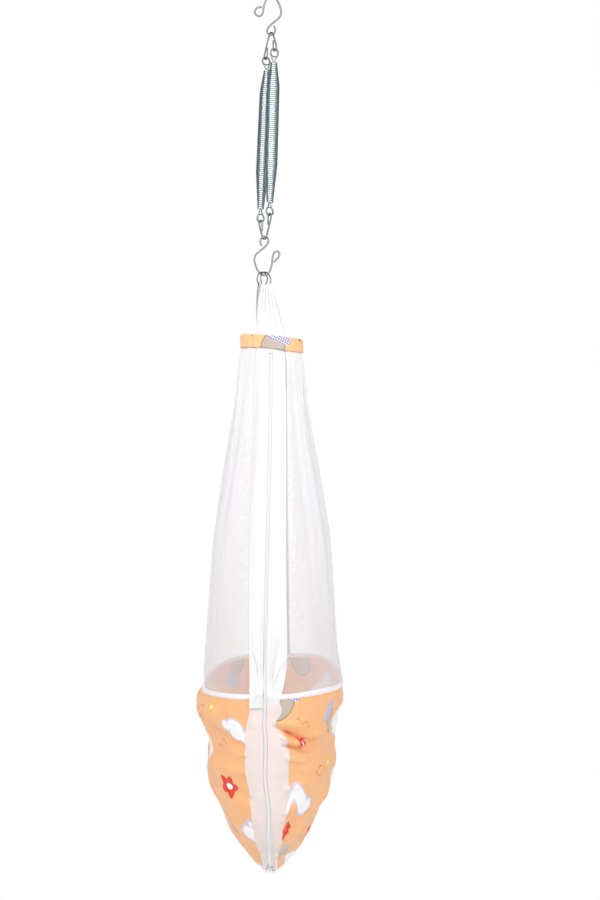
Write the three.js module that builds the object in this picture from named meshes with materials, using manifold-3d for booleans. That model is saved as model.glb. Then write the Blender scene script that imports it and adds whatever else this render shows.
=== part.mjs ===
// A baby cradle that hangs from a ceiling hook on a pair of springs.
//
// Millimetres, with +Z up, X across the cradle and Y along it. The end with the
// zip is at -Y. The origin is under the top of the upper hook's bow, where the
// support carries the hook. The sizes come first, from the top hook down to the
// bag, and each piece takes its place from the piece that carries it.

import * as THREE from 'three';
import { mergeVertices } from 'three/addons/utils/BufferGeometryUtils.js';
import Module from 'manifold-3d';

const wasm = await Module();
wasm.setup();

// Clearances

const fit = 0.3; // between neighbouring pieces
const ringPlay = 3.2; // of a ring that swings on a bow
const linkPlay = 1.2; // of a hook's eye on a link's apex
const eyePlay = 0.9; // of a spring's eye on a link's end hook

// S hooks, each bent from one wire, alike apart from the safety curl

const hookWire = 4.0;
const hookLength = 82.8; // between the centre lines of the bow and the small eye
const hookSides = 6;
const hookSteps = 60;

// The centre line of the round curl and of the tall one, from the free end
const upperCurlShares = [
  [-0.266, -0.284], [-0.324, -0.279], [-0.399, -0.319], [-0.432, -0.394],
  [-0.405, -0.47], [-0.339, -0.51], [-0.269, -0.495], [-0.224, -0.425],
  [-0.209, -0.327],
];
const lowerCurlShares = [
  [-0.27, -0.352], [-0.306, -0.392], [-0.352, -0.44], [-0.394, -0.505],
  [-0.402, -0.57], [-0.358, -0.62], [-0.29, -0.608], [-0.241, -0.535],
  [-0.222, -0.44], [-0.21, -0.33],
];
// The centre line from the curl, over the bow, to the small eye
const hookOutlineShares = [
  [-0.188, -0.214], [-0.148, -0.108], [-0.083, -0.028], [0, 0],
  [0.088, -0.038], [0.168, -0.138], [0.229, -0.289], [0.249, -0.42],
  [0.214, -0.528], [0.113, -0.628], [-0.013, -0.731], [-0.088, -0.817],
  [-0.116, -0.892], [-0.088, -0.967], [-0.013, -1], [0.063, -0.967],
  [0.095, -0.892], [0.088, -0.824], [0.07, -0.781],
];
const eyeOffsetShare = -0.013; // of the small eye's lowest point, beside the bow

// V links, both alike, each one wire with an end hook on either leg

const linkWire = 3.6;
const linkYaw = 57; // degrees that the link's plane turns from the hook's
const linkApexRadius = 9;
const linkHookRadius = 6.3;
const linkReturn = 22; // height of the bent back end
const longLegDrop = 52.7;
const longLegSpread = 21;
const shortLegDrop = 42;
const shortLegSpread = 15.5;
const linkSides = 6;
const linkSteps = 56;
const bendSteps = 6; // of a small round bend

// Springs, wound closely and coned at both ends, with an eye trapped in each cone

const springWire = 4.0;
const springDiameter = 29;
const springTipDiameter = 15;
const springLength = 300;
const upperConeLength = 50;
const lowerConeLength = 80;
const springCurls = 32;
const curlSteps = 8;
const curlSides = 5;
const springSpacing = 30; // between the axes of the pair
const pairLean = 14; // how far the pair's lower end hangs to the left
const upperPairYaw = 60; // degrees
const lowerPairYaw = 47;

const eyeWire = 2.5;
const eyeRadius = 8.5;
const eyeNeck = 20; // from the eye's centre to the cone's tip
const eyeYaw = 30; // degrees
const footDepth = 14; // how far the eye's legs reach into the cone
const footSpread = 3.2;
const eyeSides = 5;
const eyeSteps = 38;
const ringPoints = 32;

// Rings on the lower hook's bow

const ringWire = 3.0;
const ringRadius = 15;
const ringSpacing = 7.2;
const nearRingYaw = 45; // degrees
const farRingYaw = 45;
const ringTilt = 8; // the panels draw the rings apart
const ringSides = 6;
const ringSteps = 26;

// Hangers, the gathered upper ends of the hanging panels

const hangerDrop = 110.46; // from the rings to the band
const hangerTopWidth = 22;
const hangerBottomWidth = 62;
const hangerTopThickness = 8;
const hangerBottomThickness = 3;
const loopWall = 1.8;
const loopArc = 52; // degrees of ring inside the loop
const loopSteps = 6;
const loopSides = 10;
const hangerPleats = 4;
const hangerRows = 6;

// Band and spreader hoop

const bandRadius = 68;
const bandHeight = 28;
const bandCloth = 1.2;
const hoopWire = 3.5;
const bandSegments = 36;

// Net, from the band down to the rim

const netHeight = 695;
const netCloth = 1.2;
const rimHalfWidth = 145;
const rimHalfLength = 325;
const rimSag = 20; // of the rim's long sides between the hanging panels
const netFold = 6;
const netFolds = 6;
const netLap = 6; // of the net under the hanging panels
const netGap = 0.6; // of the net over the rim, inside the binding
const netColumns = 24;
const netRows = 7;
const netFlareShares = [
  [0, 0], [0.07, 0.06], [0.16, 0.14], [0.25, 0.26], [0.38, 0.46],
  [0.56, 0.71], [0.69, 0.8], [0.81, 0.875], [0.93, 0.95], [1, 1],
];

// Bag

const bagDepth = 398;
const bagCloth = 1.6;
const bagInset = 4; // from the zip's middle to the cloth's edge
const bagColumns = 15;
const bagRows = 12;
const bagRowPower = 1.5; // the rows draw closer towards the bottom
const bagWidthShares = [
  [0, 1], [0.08, 1.03], [0.13, 1.02], [0.2, 0.965], [0.26, 0.91], [0.32, 0.885],
  [0.36, 0.897], [0.42, 0.915], [0.47, 0.905], [0.52, 0.885], [0.57, 0.835],
  [0.61, 0.77], [0.69, 0.67], [0.76, 0.59], [0.885, 0.366], [0.946, 0.24],
  [0.972, 0.16], [1, 0.06],
];
// Its lower end runs straight, where the zip's slider travels
const bagLengthShares = [
  [0, 1], [0.1, 1], [0.2, 0.997], [0.3, 0.985], [0.4, 0.972], [0.5, 0.955],
  [0.6, 0.925], [0.7, 0.875], [0.76, 0.8134], [0.8, 0.7386], [0.84, 0.6638],
  [0.88, 0.5891], [0.92, 0.5144], [0.96, 0.4396], [0.98, 0.4022], [1, 0.3],
];
const sectionPowerShares = [[0, 2], [1, 2.6], [2, 2.2]]; // band, rim, bottom
const stepShare = 0.001; // for the slope of the cloth

// Trim: rim binding, zip tapes, hanging panels, plackets and seam

const bindingHeight = 10;
const bindingCloth = 1.5;
const tapeCloth = 0.7;
const tapeWidth = 12;
const panelCloth = 1.2;
const panelTopWidth = 62;
const panelRimWidth = 76;
const panelColumns = 3;
const panelOverhang = 24; // below the rim's middle
const placketWidth = 34;
const placketEndWidth = 11;
const seamWidth = 20;
const seamCloth = 1.5;

// Zip

const chainWidth = 6;
const chainRootWidth = 4;
const chainRootHeight = 1.1;
const chainHeight = 2.6;
const chainTopShare = 0.012; // of the net's height, below the band
const chainEndShare = 0.95; // of the bag's depth
const sliderLength = 11;
const sliderWall = 1.2;
const sliderWidth = 10;
const sliderShare = 0.93; // of the bag's depth
const bailWire = 1.6;
const bailHeight = 4.6;
const bailLength = 9;
const pullerLength = 30;
const pullerWidth = 8.4;
const pullerThickness = 1.4;
const pullerHole = 5.6;
const pullerTaperShare = 0.8;
const stopLength = 4;

// Materials

function finish(color, roughness, metalness = 0) {
  return new THREE.MeshStandardMaterial({ color, roughness, metalness });
}
const galvanised = finish(0x9aa09f, 0.45, 0.9);
const springSteel = finish(0x7d9197, 0.35, 0.9);
const cotton = finish(0xf4f3f1, 0.9);
const netting = finish(0xf1f0f4, 0.95);
const print = finish(0xfdcb98, 0.85);
const tape = finish(0xe9e6e4, 0.8);
const zinc = finish(0xb9bcbb, 0.35, 0.9);

// Helpers for points and tables

const at = (x, y, z) => new THREE.Vector3(x, y, z);
const turn = THREE.MathUtils.degToRad;
const mix = THREE.MathUtils.lerp;
const level = (degrees) => at(Math.cos(turn(degrees)), -Math.sin(turn(degrees)), 0);

function range(count) {
  return Array.from({ length: count + 1 }, (_, i) => i / count);
}

// A smooth curve through a table of shares
function follow(table, share) {
  const last = table.length - 2;
  const found = table.findIndex(([x], i) => i > last || share < table[i + 1][0]);
  const i = Math.min(found, last);
  const slope = (k) => {
    const [a, b] = [table[Math.max(k - 1, 0)], table[Math.min(k + 1, last + 1)]];
    return (b[1] - a[1]) / (b[0] - a[0]);
  };
  const [[x0, y0], [x1, y1]] = [table[i], table[i + 1]];
  const [span, t] = [x1 - x0, (share - x0) / (x1 - x0)];
  const [t2, t3] = [t * t, t * t * t];
  return (2 * t3 - 3 * t2 + 1) * y0 + (t3 - 2 * t2 + t) * span * slope(i)
    + (3 * t2 - 2 * t3) * y1 + (t3 - t2) * span * slope(i + 1);
}

// Helpers for solids

function geometryOf(points, triangles) {
  const geometry = new THREE.BufferGeometry().setFromPoints(points);
  geometry.setIndex(triangles);
  if (volumeOf(points, triangles) < 0) {
    geometry.setIndex([...triangles].reverse());
  }
  return geometry;
}

function volumeOf(points, triangles) {
  let six = 0;
  for (let i = 0; i < triangles.length; i += 3) {
    const [a, b, c] = [0, 1, 2].map((k) => points[triangles[i + k]]);
    six += a.dot(b.clone().cross(c));
  }
  return six / 6;
}

// A polygon of corners round the origin, whose flats stand off by the radius
function polygon(radius, sides) {
  return range(sides).slice(0, sides).map((share) => {
    const angle = 2 * Math.PI * share;
    return new THREE.Vector2(radius * Math.cos(angle), radius * Math.sin(angle));
  });
}

function wire(points, diameter, sides, steps) {
  const path = new THREE.CatmullRomCurve3(points, false, 'centripetal');
  const section = new THREE.Shape(polygon(diameter / 2, sides));
  return new THREE.ExtrudeGeometry(section, { steps, extrudePath: path });
}

// A solid swept through stations; each station places the section's corners
function sweep(section, stations) {
  const size = section.length;
  const points = stations.flatMap((place) => section.map(([a, b]) => place(a, b)));
  const triangles = [];
  for (let row = 0; row + 1 < stations.length; row += 1) {
    for (let i = 0; i < size; i += 1) {
      const [a, b] = [row * size + i, row * size + (i + 1) % size];
      triangles.push(a, b, b + size, a, b + size, a + size);
    }
  }
  const contour = section.map(([a, b]) => new THREE.Vector2(a, b));
  const end = (stations.length - 1) * size;
  for (const [a, b, c] of THREE.ShapeUtils.triangulateShape(contour, [])) {
    const turned = THREE.ShapeUtils.isClockWise(contour) ? [a, b, c] : [a, c, b];
    triangles.push(...turned, ...[...turned].reverse().map((k) => k + end));
  }
  return geometryOf(points, triangles);
}

// A closed sheet between an outer grid of points, side 1, and an inner one, side 0
function sheet(pointAt, columns, rows) {
  const across = [...range(columns).map((u) => [u, 0]),
    ...range(columns).reverse().map((u) => [u, 1])];
  const stations = range(rows).map((v) => (u, side) => pointAt(u, v, side));
  const points = stations.flatMap((place) => across.map(([u, side]) => place(u, side)));
  const size = across.length;
  const triangles = [];
  for (let row = 0; row < rows; row += 1) {
    for (let i = 0; i < size; i += 1) {
      const [a, b] = [row * size + i, row * size + (i + 1) % size];
      triangles.push(a, b, b + size, a, b + size, a + size);
    }
  }
  for (let i = 0; i < columns; i += 1) {
    const [a, b, c, d] = [i, i + 1, size - 2 - i, size - 1 - i];
    const end = rows * size;
    triangles.push(a, c, b, a, d, c);
    triangles.push(a + end, b + end, c + end, a + end, c + end, d + end);
  }
  return geometryOf(points, triangles);
}

function solid(geometry) {
  const bare = geometry.clone();
  bare.deleteAttribute('normal');
  bare.deleteAttribute('uv');
  const merged = mergeVertices(bare);
  return new wasm.Manifold(new wasm.Mesh({
    numProp: 3,
    vertProperties: new Float32Array(merged.attributes.position.array),
    triVerts: new Uint32Array(merged.index.array),
  }));
}

function geometryFrom(manifold) {
  const mesh = manifold.getMesh();
  const geometry = new THREE.BufferGeometry();
  geometry.setAttribute('position', new THREE.BufferAttribute(mesh.vertProperties, 3));
  geometry.setIndex(new THREE.BufferAttribute(mesh.triVerts, 1));
  return geometry;
}

const cradle = new THREE.Group();

function add(name, geometry, material, place = at(0, 0, 0)) {
  const mesh = new THREE.Mesh(geometry, material);
  mesh.name = name;
  mesh.position.copy(place);
  cradle.add(mesh);
  return mesh;
}

// Heights, from the upper hook down

const upperBow = at(0, 0, hookWire / 2);
const upperEye = at(eyeOffsetShare * hookLength, 0, upperBow.z - hookLength);
const linkSeat = (hookWire + linkWire) / 2 + linkPlay;
const upperApex = upperEye.clone().setZ(upperEye.z + linkSeat);
const along = level(linkYaw); // the level line in the plane of both links
const eyeSeat = (linkWire + eyeWire) / 2 + eyePlay;

const springReach = springLength + 2 * (eyeNeck + eyeRadius - eyeSeat);
const lowerApex = at(
  upperApex.x - pairLean,
  0,
  upperApex.z - longLegDrop - springReach - shortLegDrop,
);
const lowerEye = lowerApex.clone().setZ(lowerApex.z + linkSeat);
const lowerBow = at(
  lowerEye.x + eyeOffsetShare * hookLength,
  0,
  lowerEye.z - hookLength,
);

// S hooks: the lower one is turned half round

function hookOutline(curl, bow, sense) {
  return [...curl, ...hookOutlineShares].map(([x, z]) => (
    at(sense * x * hookLength, 0, sense * z * hookLength).add(bow)));
}

function addHook(name, outline) {
  add(name, wire(outline, hookWire, hookSides, hookSteps), galvanised);
}
addHook('upper_s_hook', hookOutline(upperCurlShares, upperBow, 1));
addHook('lower_s_hook', hookOutline(lowerCurlShares, lowerBow, -1));

// V links: a rounded apex, two straight legs and a narrow hook at each end

const legLean = 25; // degrees from upright
const arc = (x, z, radius, from, to) => range(bendSteps).map((share) => {
  const angle = turn(mix(from, to, share));
  return [x + radius * Math.cos(angle), z + radius * Math.sin(angle)];
});

function legOutline(spread, drop) {
  const apex = arc(0, -linkApexRadius, linkApexRadius, 90, legLean).slice(1);
  const hook = arc(spread, linkHookRadius - drop, linkHookRadius, legLean, -180);
  return [...apex, ...hook, [spread - linkHookRadius, linkReturn - drop]];
}

function linkOutline(apex, sense) {
  const long = legOutline(longLegSpread, longLegDrop).map(([s, z]) => [-s, z]);
  const short = legOutline(shortLegSpread, shortLegDrop);
  return [...long.reverse(), [0, 0], ...short].map(([s, z]) => (
    at(0, 0, sense * z).addScaledVector(along, sense * s).add(apex)));
}

add('upper_v_link', wire(linkOutline(upperApex, 1), linkWire, linkSides, linkSteps),
  galvanised);
add('lower_v_link', wire(linkOutline(lowerApex, -1), linkWire, linkSides, linkSteps),
  galvanised);

// Springs: each hangs between two eyes, which sit on the links' end hooks

const linkEnd = (apex, sense, spread, drop) => (
  apex.clone().addScaledVector(along, sense * spread).add(at(0, 0, -sense * drop)));
const hooks = {
  left: [linkEnd(upperApex, 1, -longLegSpread, longLegDrop),
    linkEnd(lowerApex, -1, shortLegSpread, shortLegDrop)],
  right: [linkEnd(upperApex, 1, shortLegSpread, shortLegDrop),
    linkEnd(lowerApex, -1, -longLegSpread, longLegDrop)],
};

// The tips of a spring stand beside the middle of the pair
function tip(end, side) {
  const middle = hooks.left[end].clone().add(hooks.right[end]).multiplyScalar(1 / 2);
  const apart = level(end ? lowerPairYaw : upperPairYaw);
  const sense = end ? -1 : 1;
  const own = hooks[side][end].z + sense * (eyeSeat - eyeRadius - eyeNeck);
  const half = (side === 'left' ? -springSpacing : springSpacing) / 2;
  return middle.addScaledVector(apart, half).setZ(own);
}

const tipRadius = (springTipDiameter - springWire) / 2;
const fullRadius = (springDiameter - springWire) / 2;

function coilRadius(depth) {
  const upper = Math.min(depth / upperConeLength, 1);
  const lower = Math.min((springLength - depth) / lowerConeLength, 1);
  return mix(tipRadius, fullRadius, Math.min(upper, lower));
}

function coilRoute(top, bottom) {
  return range(springCurls * curlSteps).map((share) => {
    const angle = 2 * Math.PI * springCurls * share;
    const radial = at(Math.cos(angle), Math.sin(angle), 0);
    const point = top.clone().lerp(bottom, share)
      .addScaledVector(radial, coilRadius(share * springLength));
    return { point, radial };
  });
}

function coil(route) {
  const stations = route.map(({ point, radial }, i) => {
    const next = route[Math.min(i + 1, route.length - 1)].point;
    const tangent = next.clone().sub(route[Math.max(i - 1, 0)].point).normalize();
    const across = tangent.cross(radial);
    return (a, b) => (
      point.clone().addScaledVector(radial, a).addScaledVector(across, b));
  });
  const section = polygon(springWire / 2, curlSides).map(({ x, y }) => [x, y]);
  return sweep(section, stations);
}

// The least gap between a tube's turns, measured on its route's points
function leastGap(route) {
  let least = Infinity;
  const apart = curlSteps - 2;
  route.forEach(({ point }, i) => {
    for (let j = i + apart; j < Math.min(i + 2 * curlSteps, route.length); j += 1) {
      least = Math.min(least, point.distanceTo(route[j].point) - springWire);
    }
  });
  return least;
}

// An eye: a full ring of wire whose two ends run down into the cone and splay
function eyeRoute(seat, cone, inwards) {
  const up = seat.clone().sub(cone);
  const lean = Math.acos(eyeRadius / (up.length() - eyeRadius));
  up.normalize();
  const centre = seat.clone().addScaledVector(up, -eyeRadius);
  const across = level(-eyeYaw).addScaledVector(up, -level(-eyeYaw).dot(up)).normalize();
  const depth = up.clone().cross(across);
  const arcLength = 4 * Math.PI - 2 * lean;
  const pitch = (eyeWire + fit) / (2 * Math.PI);
  const ring = range(ringPoints).map((share) => {
    const angle = lean - Math.PI / 2 + arcLength * share;
    return centre.clone()
      .addScaledVector(across, eyeRadius * Math.cos(angle))
      .addScaledVector(up, eyeRadius * Math.sin(angle))
      .addScaledVector(depth, (share - 1 / 2) * arcLength * pitch);
  });
  const leg = (side) => [
    cone.clone().addScaledVector(inwards, footDepth)
      .addScaledVector(across, side * footSpread),
    cone.clone().addScaledVector(across, side * (eyeWire + fit) / 2),
  ];
  return [...leg(1), ...ring, ...leg(-1).reverse()];
}

for (const side of ['left', 'right']) {
  const [top, bottom] = [tip(0, side), tip(1, side)];
  const route = coilRoute(top, bottom);
  const axis = bottom.clone().sub(top).normalize();
  const [upper, lower] = hooks[side].map((hook, end) => (
    hook.clone().add(at(0, 0, (end ? -1 : 1) * eyeSeat))));
  add(`${side}_spring_coil`, coil(route), springSteel);
  add(`${side}_spring_top_eye`,
    wire(eyeRoute(upper, top, axis), eyeWire, eyeSides, eyeSteps), springSteel);
  add(`${side}_spring_bottom_eye`,
    wire(eyeRoute(lower, bottom, axis.clone().negate()), eyeWire, eyeSides, eyeSteps),
    springSteel);
  console.log(`${side} spring, least gap to itself in mm:`, leastGap(route).toFixed(2));
}

// Rings: both hang on the lower bow, the near one to the right, and lean apart

const ringSeat = (hookWire + ringWire) / 2 + ringPlay;

function onRing(geometry, yaw, side) {
  return geometry.rotateX(Math.PI / 2).rotateZ(turn(yaw))
    .translate(0, 0, ringSeat - ringRadius)
    .rotateX(side * turn(ringTilt))
    .translate(lowerBow.x - side * ringSpacing / 2, 0, lowerBow.z);
}

const ring = () => (
  new THREE.TorusGeometry(ringRadius, ringWire / 2, ringSides, ringSteps));
add('near_ring', onRing(ring(), nearRingYaw, -1), galvanised);
add('far_ring', onRing(ring(), farRingYaw, 1), galvanised);

// Hangers: gathered cloth looped through a ring, spreading down to the band

const ringLow = ringSeat - 2 * ringRadius;
const ringFoot = (side) => at(
  lowerBow.x - side * ringSpacing / 2,
  -side * ringLow * Math.sin(turn(ringTilt)),
  lowerBow.z + ringLow * Math.cos(turn(ringTilt)),
);
const bandTop = ringFoot(-1).z - hangerDrop;
const bandBottom = bandTop - bandHeight;
const bandDepth = hoopWire + 2 * (bandCloth + fit);
const bandMiddle = bandRadius - bandDepth / 2;
const loopBore = ringWire / 2 + fit;

function loop(yaw, side) {
  const outline = new THREE.Shape(polygon(loopBore + loopWall, loopSides));
  outline.holes.push(new THREE.Path(polygon(loopBore, loopSides)));
  const route = range(loopSteps).map((share) => {
    const angle = turn(loopArc * (share - 1 / 2) - 90);
    return at(ringRadius * Math.cos(angle), ringRadius * Math.sin(angle), 0);
  });
  const path = new THREE.CatmullRomCurve3(route);
  const tube = new THREE.ExtrudeGeometry(outline, { steps: loopSteps, extrudePath: path });
  return onRing(tube, yaw, side);
}

function hangerSheet(yaw, side) {
  const top = ringFoot(side);
  top.z -= loopBore + loopWall / 2;
  const bottom = at(0, side * bandMiddle, bandTop + fit);
  const topRadius = ringRadius + loopBore + loopWall / 2;
  return sheet((u, v, face) => {
    const across = 2 * u - 1;
    const rise = topRadius
      - Math.sqrt(topRadius ** 2 - (across * hangerTopWidth / 2) ** 2);
    const reach = across * mix(hangerTopWidth, hangerBottomWidth, Math.sqrt(v)) / 2;
    const angle = turn(yaw * (1 - v));
    const pleat = (hangerTopThickness - hangerBottomThickness) * (1 - v) / 2
      * Math.cos(Math.PI * across * hangerPleats);
    const cloth = hangerBottomThickness * (face - 1 / 2);
    const round = bandMiddle - Math.sqrt(bandMiddle ** 2 - reach ** 2);
    return top.clone().lerp(bottom, v)
      .add(at(reach * Math.cos(angle), reach * Math.sin(angle), rise * (1 - v) ** 2))
      .add(at(-Math.sin(angle), Math.cos(angle), 0).multiplyScalar(cloth + pleat))
      .add(at(0, -side * v * v * round, 0));
  }, 2 * hangerPleats, hangerRows);
}

function hanger(yaw, side) {
  return geometryFrom(solid(hangerSheet(yaw, side)).add(solid(loop(yaw, side))));
}

add('near_hanger', hanger(nearRingYaw, -1), cotton);
add('far_hanger', hanger(farRingYaw, 1), cotton);

// Band: cloth folded over the hoop, open below

function band() {
  const [out, into] = [bandRadius, bandRadius - bandDepth];
  const points = [
    [into, bandBottom], [into + bandCloth, bandBottom],
    [into + bandCloth, bandTop - bandCloth], [out - bandCloth, bandTop - bandCloth],
    [out - bandCloth, bandBottom], [out, bandBottom], [out, bandTop], [into, bandTop],
    [into, bandBottom],
  ].map(([r, z]) => new THREE.Vector2(r, z));
  return new THREE.LatheGeometry(points, bandSegments).rotateX(Math.PI / 2);
}

add('hoop_band', band(), print);
add('spreader_hoop',
  new THREE.TorusGeometry(bandMiddle, hoopWire / 2, hookSides, bandSegments),
  galvanised, at(0, 0, bandTop - bandCloth - fit - hoopWire / 2));

// The skin of the net and of the bag, by the depth below the band, the direction
// round it and the distance out from it

const netTop = bandBottom - 2 * fit;
const netRadius = bandRadius - netCloth;

function netSizes(share) {
  return {
    halfWidth: mix(netRadius, rimHalfWidth, follow(netFlareShares, share)),
    halfLength: mix(netRadius, rimHalfLength, share),
    power: follow(sectionPowerShares, share),
    z: netTop - share * netHeight,
    sag: rimSag * share ** 2,
  };
}

function bagSizes(share) {
  return {
    halfWidth: rimHalfWidth * follow(bagWidthShares, share),
    halfLength: rimHalfLength * follow(bagLengthShares, share),
    power: follow(sectionPowerShares, 1 + share),
    z: netTop - netHeight - fit - share * bagDepth,
    sag: rimSag * (1 - share) ** 2,
  };
}

function surface(sizesAt) {
  const bare = (share, angle) => {
    const { halfWidth, halfLength, power, z, sag } = sizesAt(share);
    const [c, s] = [Math.cos(angle), Math.sin(angle)];
    const reach = (Math.abs(c) ** power + Math.abs(s) ** power) ** (-1 / power);
    const low = sag * (1 - (s * reach) ** 2);
    return at(halfWidth * c * reach, halfLength * s * reach, z - low);
  };
  return (share, angle, out) => {
    const higher = bare(Math.max(share - stepShare, 0), angle);
    const down = bare(Math.min(share + stepShare, 1), angle).sub(higher);
    const round = bare(share, angle + stepShare).sub(bare(share, angle - stepShare));
    const normal = down.cross(round).normalize();
    return bare(share, angle).addScaledVector(normal, out);
  };
}
const netSkin = surface(netSizes);
const bagSkin = surface(bagSizes);

const isNet = (depth) => depth <= netHeight;
const bagShare = (depth) => Math.max(depth - netHeight, 0) / bagDepth;
const sizesAt = (depth) => (
  isNet(depth) ? netSizes(depth / netHeight) : bagSizes(bagShare(depth)));

function skinAt(depth, angle, out) {
  return isNet(depth)
    ? netSkin(depth / netHeight, angle, out)
    : bagSkin(bagShare(depth), angle, out);
}

// The direction of a point at x on the near or the far end
function endAngle(depth, x, side) {
  const { halfWidth, power } = sizesAt(depth);
  const across = Math.min(Math.abs(x) / halfWidth, 1);
  const away = (1 - across ** power) ** (1 / power);
  return Math.atan2(side * away, Math.sign(x) * across);
}

// One half of a cloth that goes round from the near end to the far end
function half(side, nearX, farX, depths, columns, thickness, fold = () => 0) {
  return sheet((u, v, face) => {
    const depth = depths[Math.round(v * (depths.length - 1))];
    const from = endAngle(depth, nearX(depth), -1);
    const to = endAngle(depth, farX(depth), 1);
    const angle = mix(from, to, u);
    const point = skinAt(depth, angle, face * thickness + fold(u, depth));
    return side === 'left' ? point.setX(-point.x) : point;
  }, columns, depths.length - 1);
}

// A strip on the near or the far end, between two distances from the middle
function strip(side, end, innerX, outerX, depths, columns, offset, thickness) {
  return sheet((u, v, face) => {
    const depth = depths[Math.round(v * (depths.length - 1))];
    const x = mix(innerX(depth), outerX(depth), u);
    const out = offset(depth) + face * thickness;
    const point = skinAt(depth, endAngle(depth, x, end), out);
    return side === 'left' ? point.setX(-point.x) : point;
  }, columns, depths.length - 1);
}

const netDepths = range(netRows).map((share) => share * (netHeight - netGap));
const chainTop = chainTopShare * netHeight;
const chainEnd = netHeight + chainEndShare * bagDepth;
const tapeEnd = chainEnd + stopLength;
const bagDepths = [chainEnd, tapeEnd, ...range(bagRows).map((share) => (
  netHeight + bagDepth * (1 - (1 - share) ** bagRowPower)))].sort((a, b) => a - b);
bagDepths[0] += fit / bagDepth; // the rim's own level, on the bag's side
const within = (from, to) => [...netDepths, ...bagDepths]
  .filter((depth) => depth > from && depth < to);
const levels = (from, to) => [from, ...within(from, to), to];

// Net

const tapeOut = bagCloth + 2 * fit;
const chainOut = tapeOut + tapeCloth + fit;
const overBinding = tapeOut + bindingCloth + fit;
const gateHalf = sliderWidth / 2 + fit;

const panelHalf = (depth) => (
  mix(panelTopWidth, panelRimWidth, Math.min(depth / netHeight, 1)) / 2);
const lapX = (depth) => panelHalf(depth) - netLap;

function netFolding(u, depth) {
  const share = depth / netHeight;
  const swell = Math.sin(Math.PI * share ** 0.7) * Math.sin(Math.PI * u) ** 0.5;
  return -netFold * swell * (1 + Math.cos(2 * Math.PI * netFolds * u)) / 2;
}

for (const side of ['left', 'right']) {
  add(`net_${side}`,
    half(side, lapX, lapX, netDepths, netColumns, netCloth, netFolding), netting);
}

// Bag

for (const side of ['left', 'right']) {
  add(`bag_${side}`,
    half(side, () => bagInset, () => fit / 2, bagDepths, bagColumns, bagCloth),
    print);
}

// Rim binding, open at the zip

const bindingDepths = [-1, 0, 1].map((step) => netHeight + step * bindingHeight / 2);
bindingDepths[1] = bagDepths[0];
const bindingEnd = chainRootWidth / 2 + tapeWidth + 2 * fit;

// The directions round the rim follow the bag's own columns, and halve them
function rimAngles(depth) {
  const start = endAngle(depth, bindingEnd, -1);
  const [from, to] = [endAngle(depth, bagInset, -1), endAngle(depth, fit / 2, 1)];
  const right = [start, ...range(2 * bagColumns).map((u) => mix(from, to, u))
    .filter((angle) => angle > start + stepShare)];
  return [...right, ...right.reverse().map((angle) => Math.PI - angle)];
}
const rimColumns = rimAngles(netHeight).length - 1;

add('rim_binding', sheet((u, v, face) => {
  const depth = bindingDepths[Math.round(2 * v)];
  const angle = rimAngles(depth)[Math.round(u * rimColumns)];
  return skinAt(depth, angle, tapeOut + face * bindingCloth);
}, rimColumns, 2), cotton);

// Hanging panels: two beside the zip at the near end, one at the far end

const panelDepths = levels(0, netHeight + panelOverhang);
const panelOut = (depth) => (
  mix(chainOut, overBinding, Math.min(depth / netHeight, 1) ** 2));
for (const side of ['left', 'right']) {
  add(`near_panel_${side}`,
    strip(side, -1, () => gateHalf, panelHalf, panelDepths, panelColumns, panelOut,
      panelCloth), cotton);
}
add('far_panel',
  strip('right', 1, (depth) => -panelHalf(depth), panelHalf, panelDepths,
    2 * panelColumns, panelOut, panelCloth), cotton);

// Zip: two tapes, the chain, its stops and the slider

for (const side of ['left', 'right']) {
  add(`zip_tape_${side}`,
    strip(side, -1, () => fit / 2, () => chainRootWidth / 2 + tapeWidth,
      levels(0, tapeEnd), panelColumns, () => tapeOut, tapeCloth), tape);
}

// A station on the middle line of the near or the far end
function middle(depth, end) {
  const point = skinAt(depth, end * Math.PI / 2, 0);
  const normal = skinAt(depth, end * Math.PI / 2, 1).sub(point);
  return (a, b) => point.clone().addScaledVector(normal, b).add(at(a, 0, 0));
}

const [rootHalf, chainHalf] = [chainRootWidth / 2, chainWidth / 2];
const [shoulder, crown] = [chainOut + chainRootHeight, chainOut + chainHeight];
const chainSection = [
  [-rootHalf, chainOut], [rootHalf, chainOut], [rootHalf, shoulder],
  [chainHalf, shoulder], [chainHalf, crown], [-chainHalf, crown],
  [-chainHalf, shoulder], [-rootHalf, shoulder],
];
const stopSection = [
  [-chainHalf, chainOut], [chainHalf, chainOut], [chainHalf, crown],
  [-chainHalf, crown],
];
const route = (depths) => depths.map((depth) => middle(depth, -1));

add('zip_chain', sweep(chainSection, route(levels(chainTop + stopLength, chainEnd))),
  tape);
add('zip_top_stop',
  sweep(stopSection, route([chainTop, chainTop + stopLength - fit])), zinc);
add('zip_bottom_stop', sweep(stopSection, route([chainEnd + fit, tapeEnd])), zinc);

// The slider holds the chain's head with two lips and carries the puller's bail
const sliderDepth = netHeight + sliderShare * bagDepth;
const sliderPlace = middle(sliderDepth, -1);
const sliderUp = middle(sliderDepth - sliderLength, -1)(0, 0)
  .sub(sliderPlace(0, 0)).normalize();
const sliderOut = sliderPlace(0, 1).sub(sliderPlace(0, 0));
const sliderFrame = new THREE.Matrix4()
  .makeBasis(sliderOut.clone().cross(sliderUp), sliderOut, sliderUp)
  .setPosition(sliderPlace(0, chainOut));
const sliderTop = chainHeight + fit + sliderWall;

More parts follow.
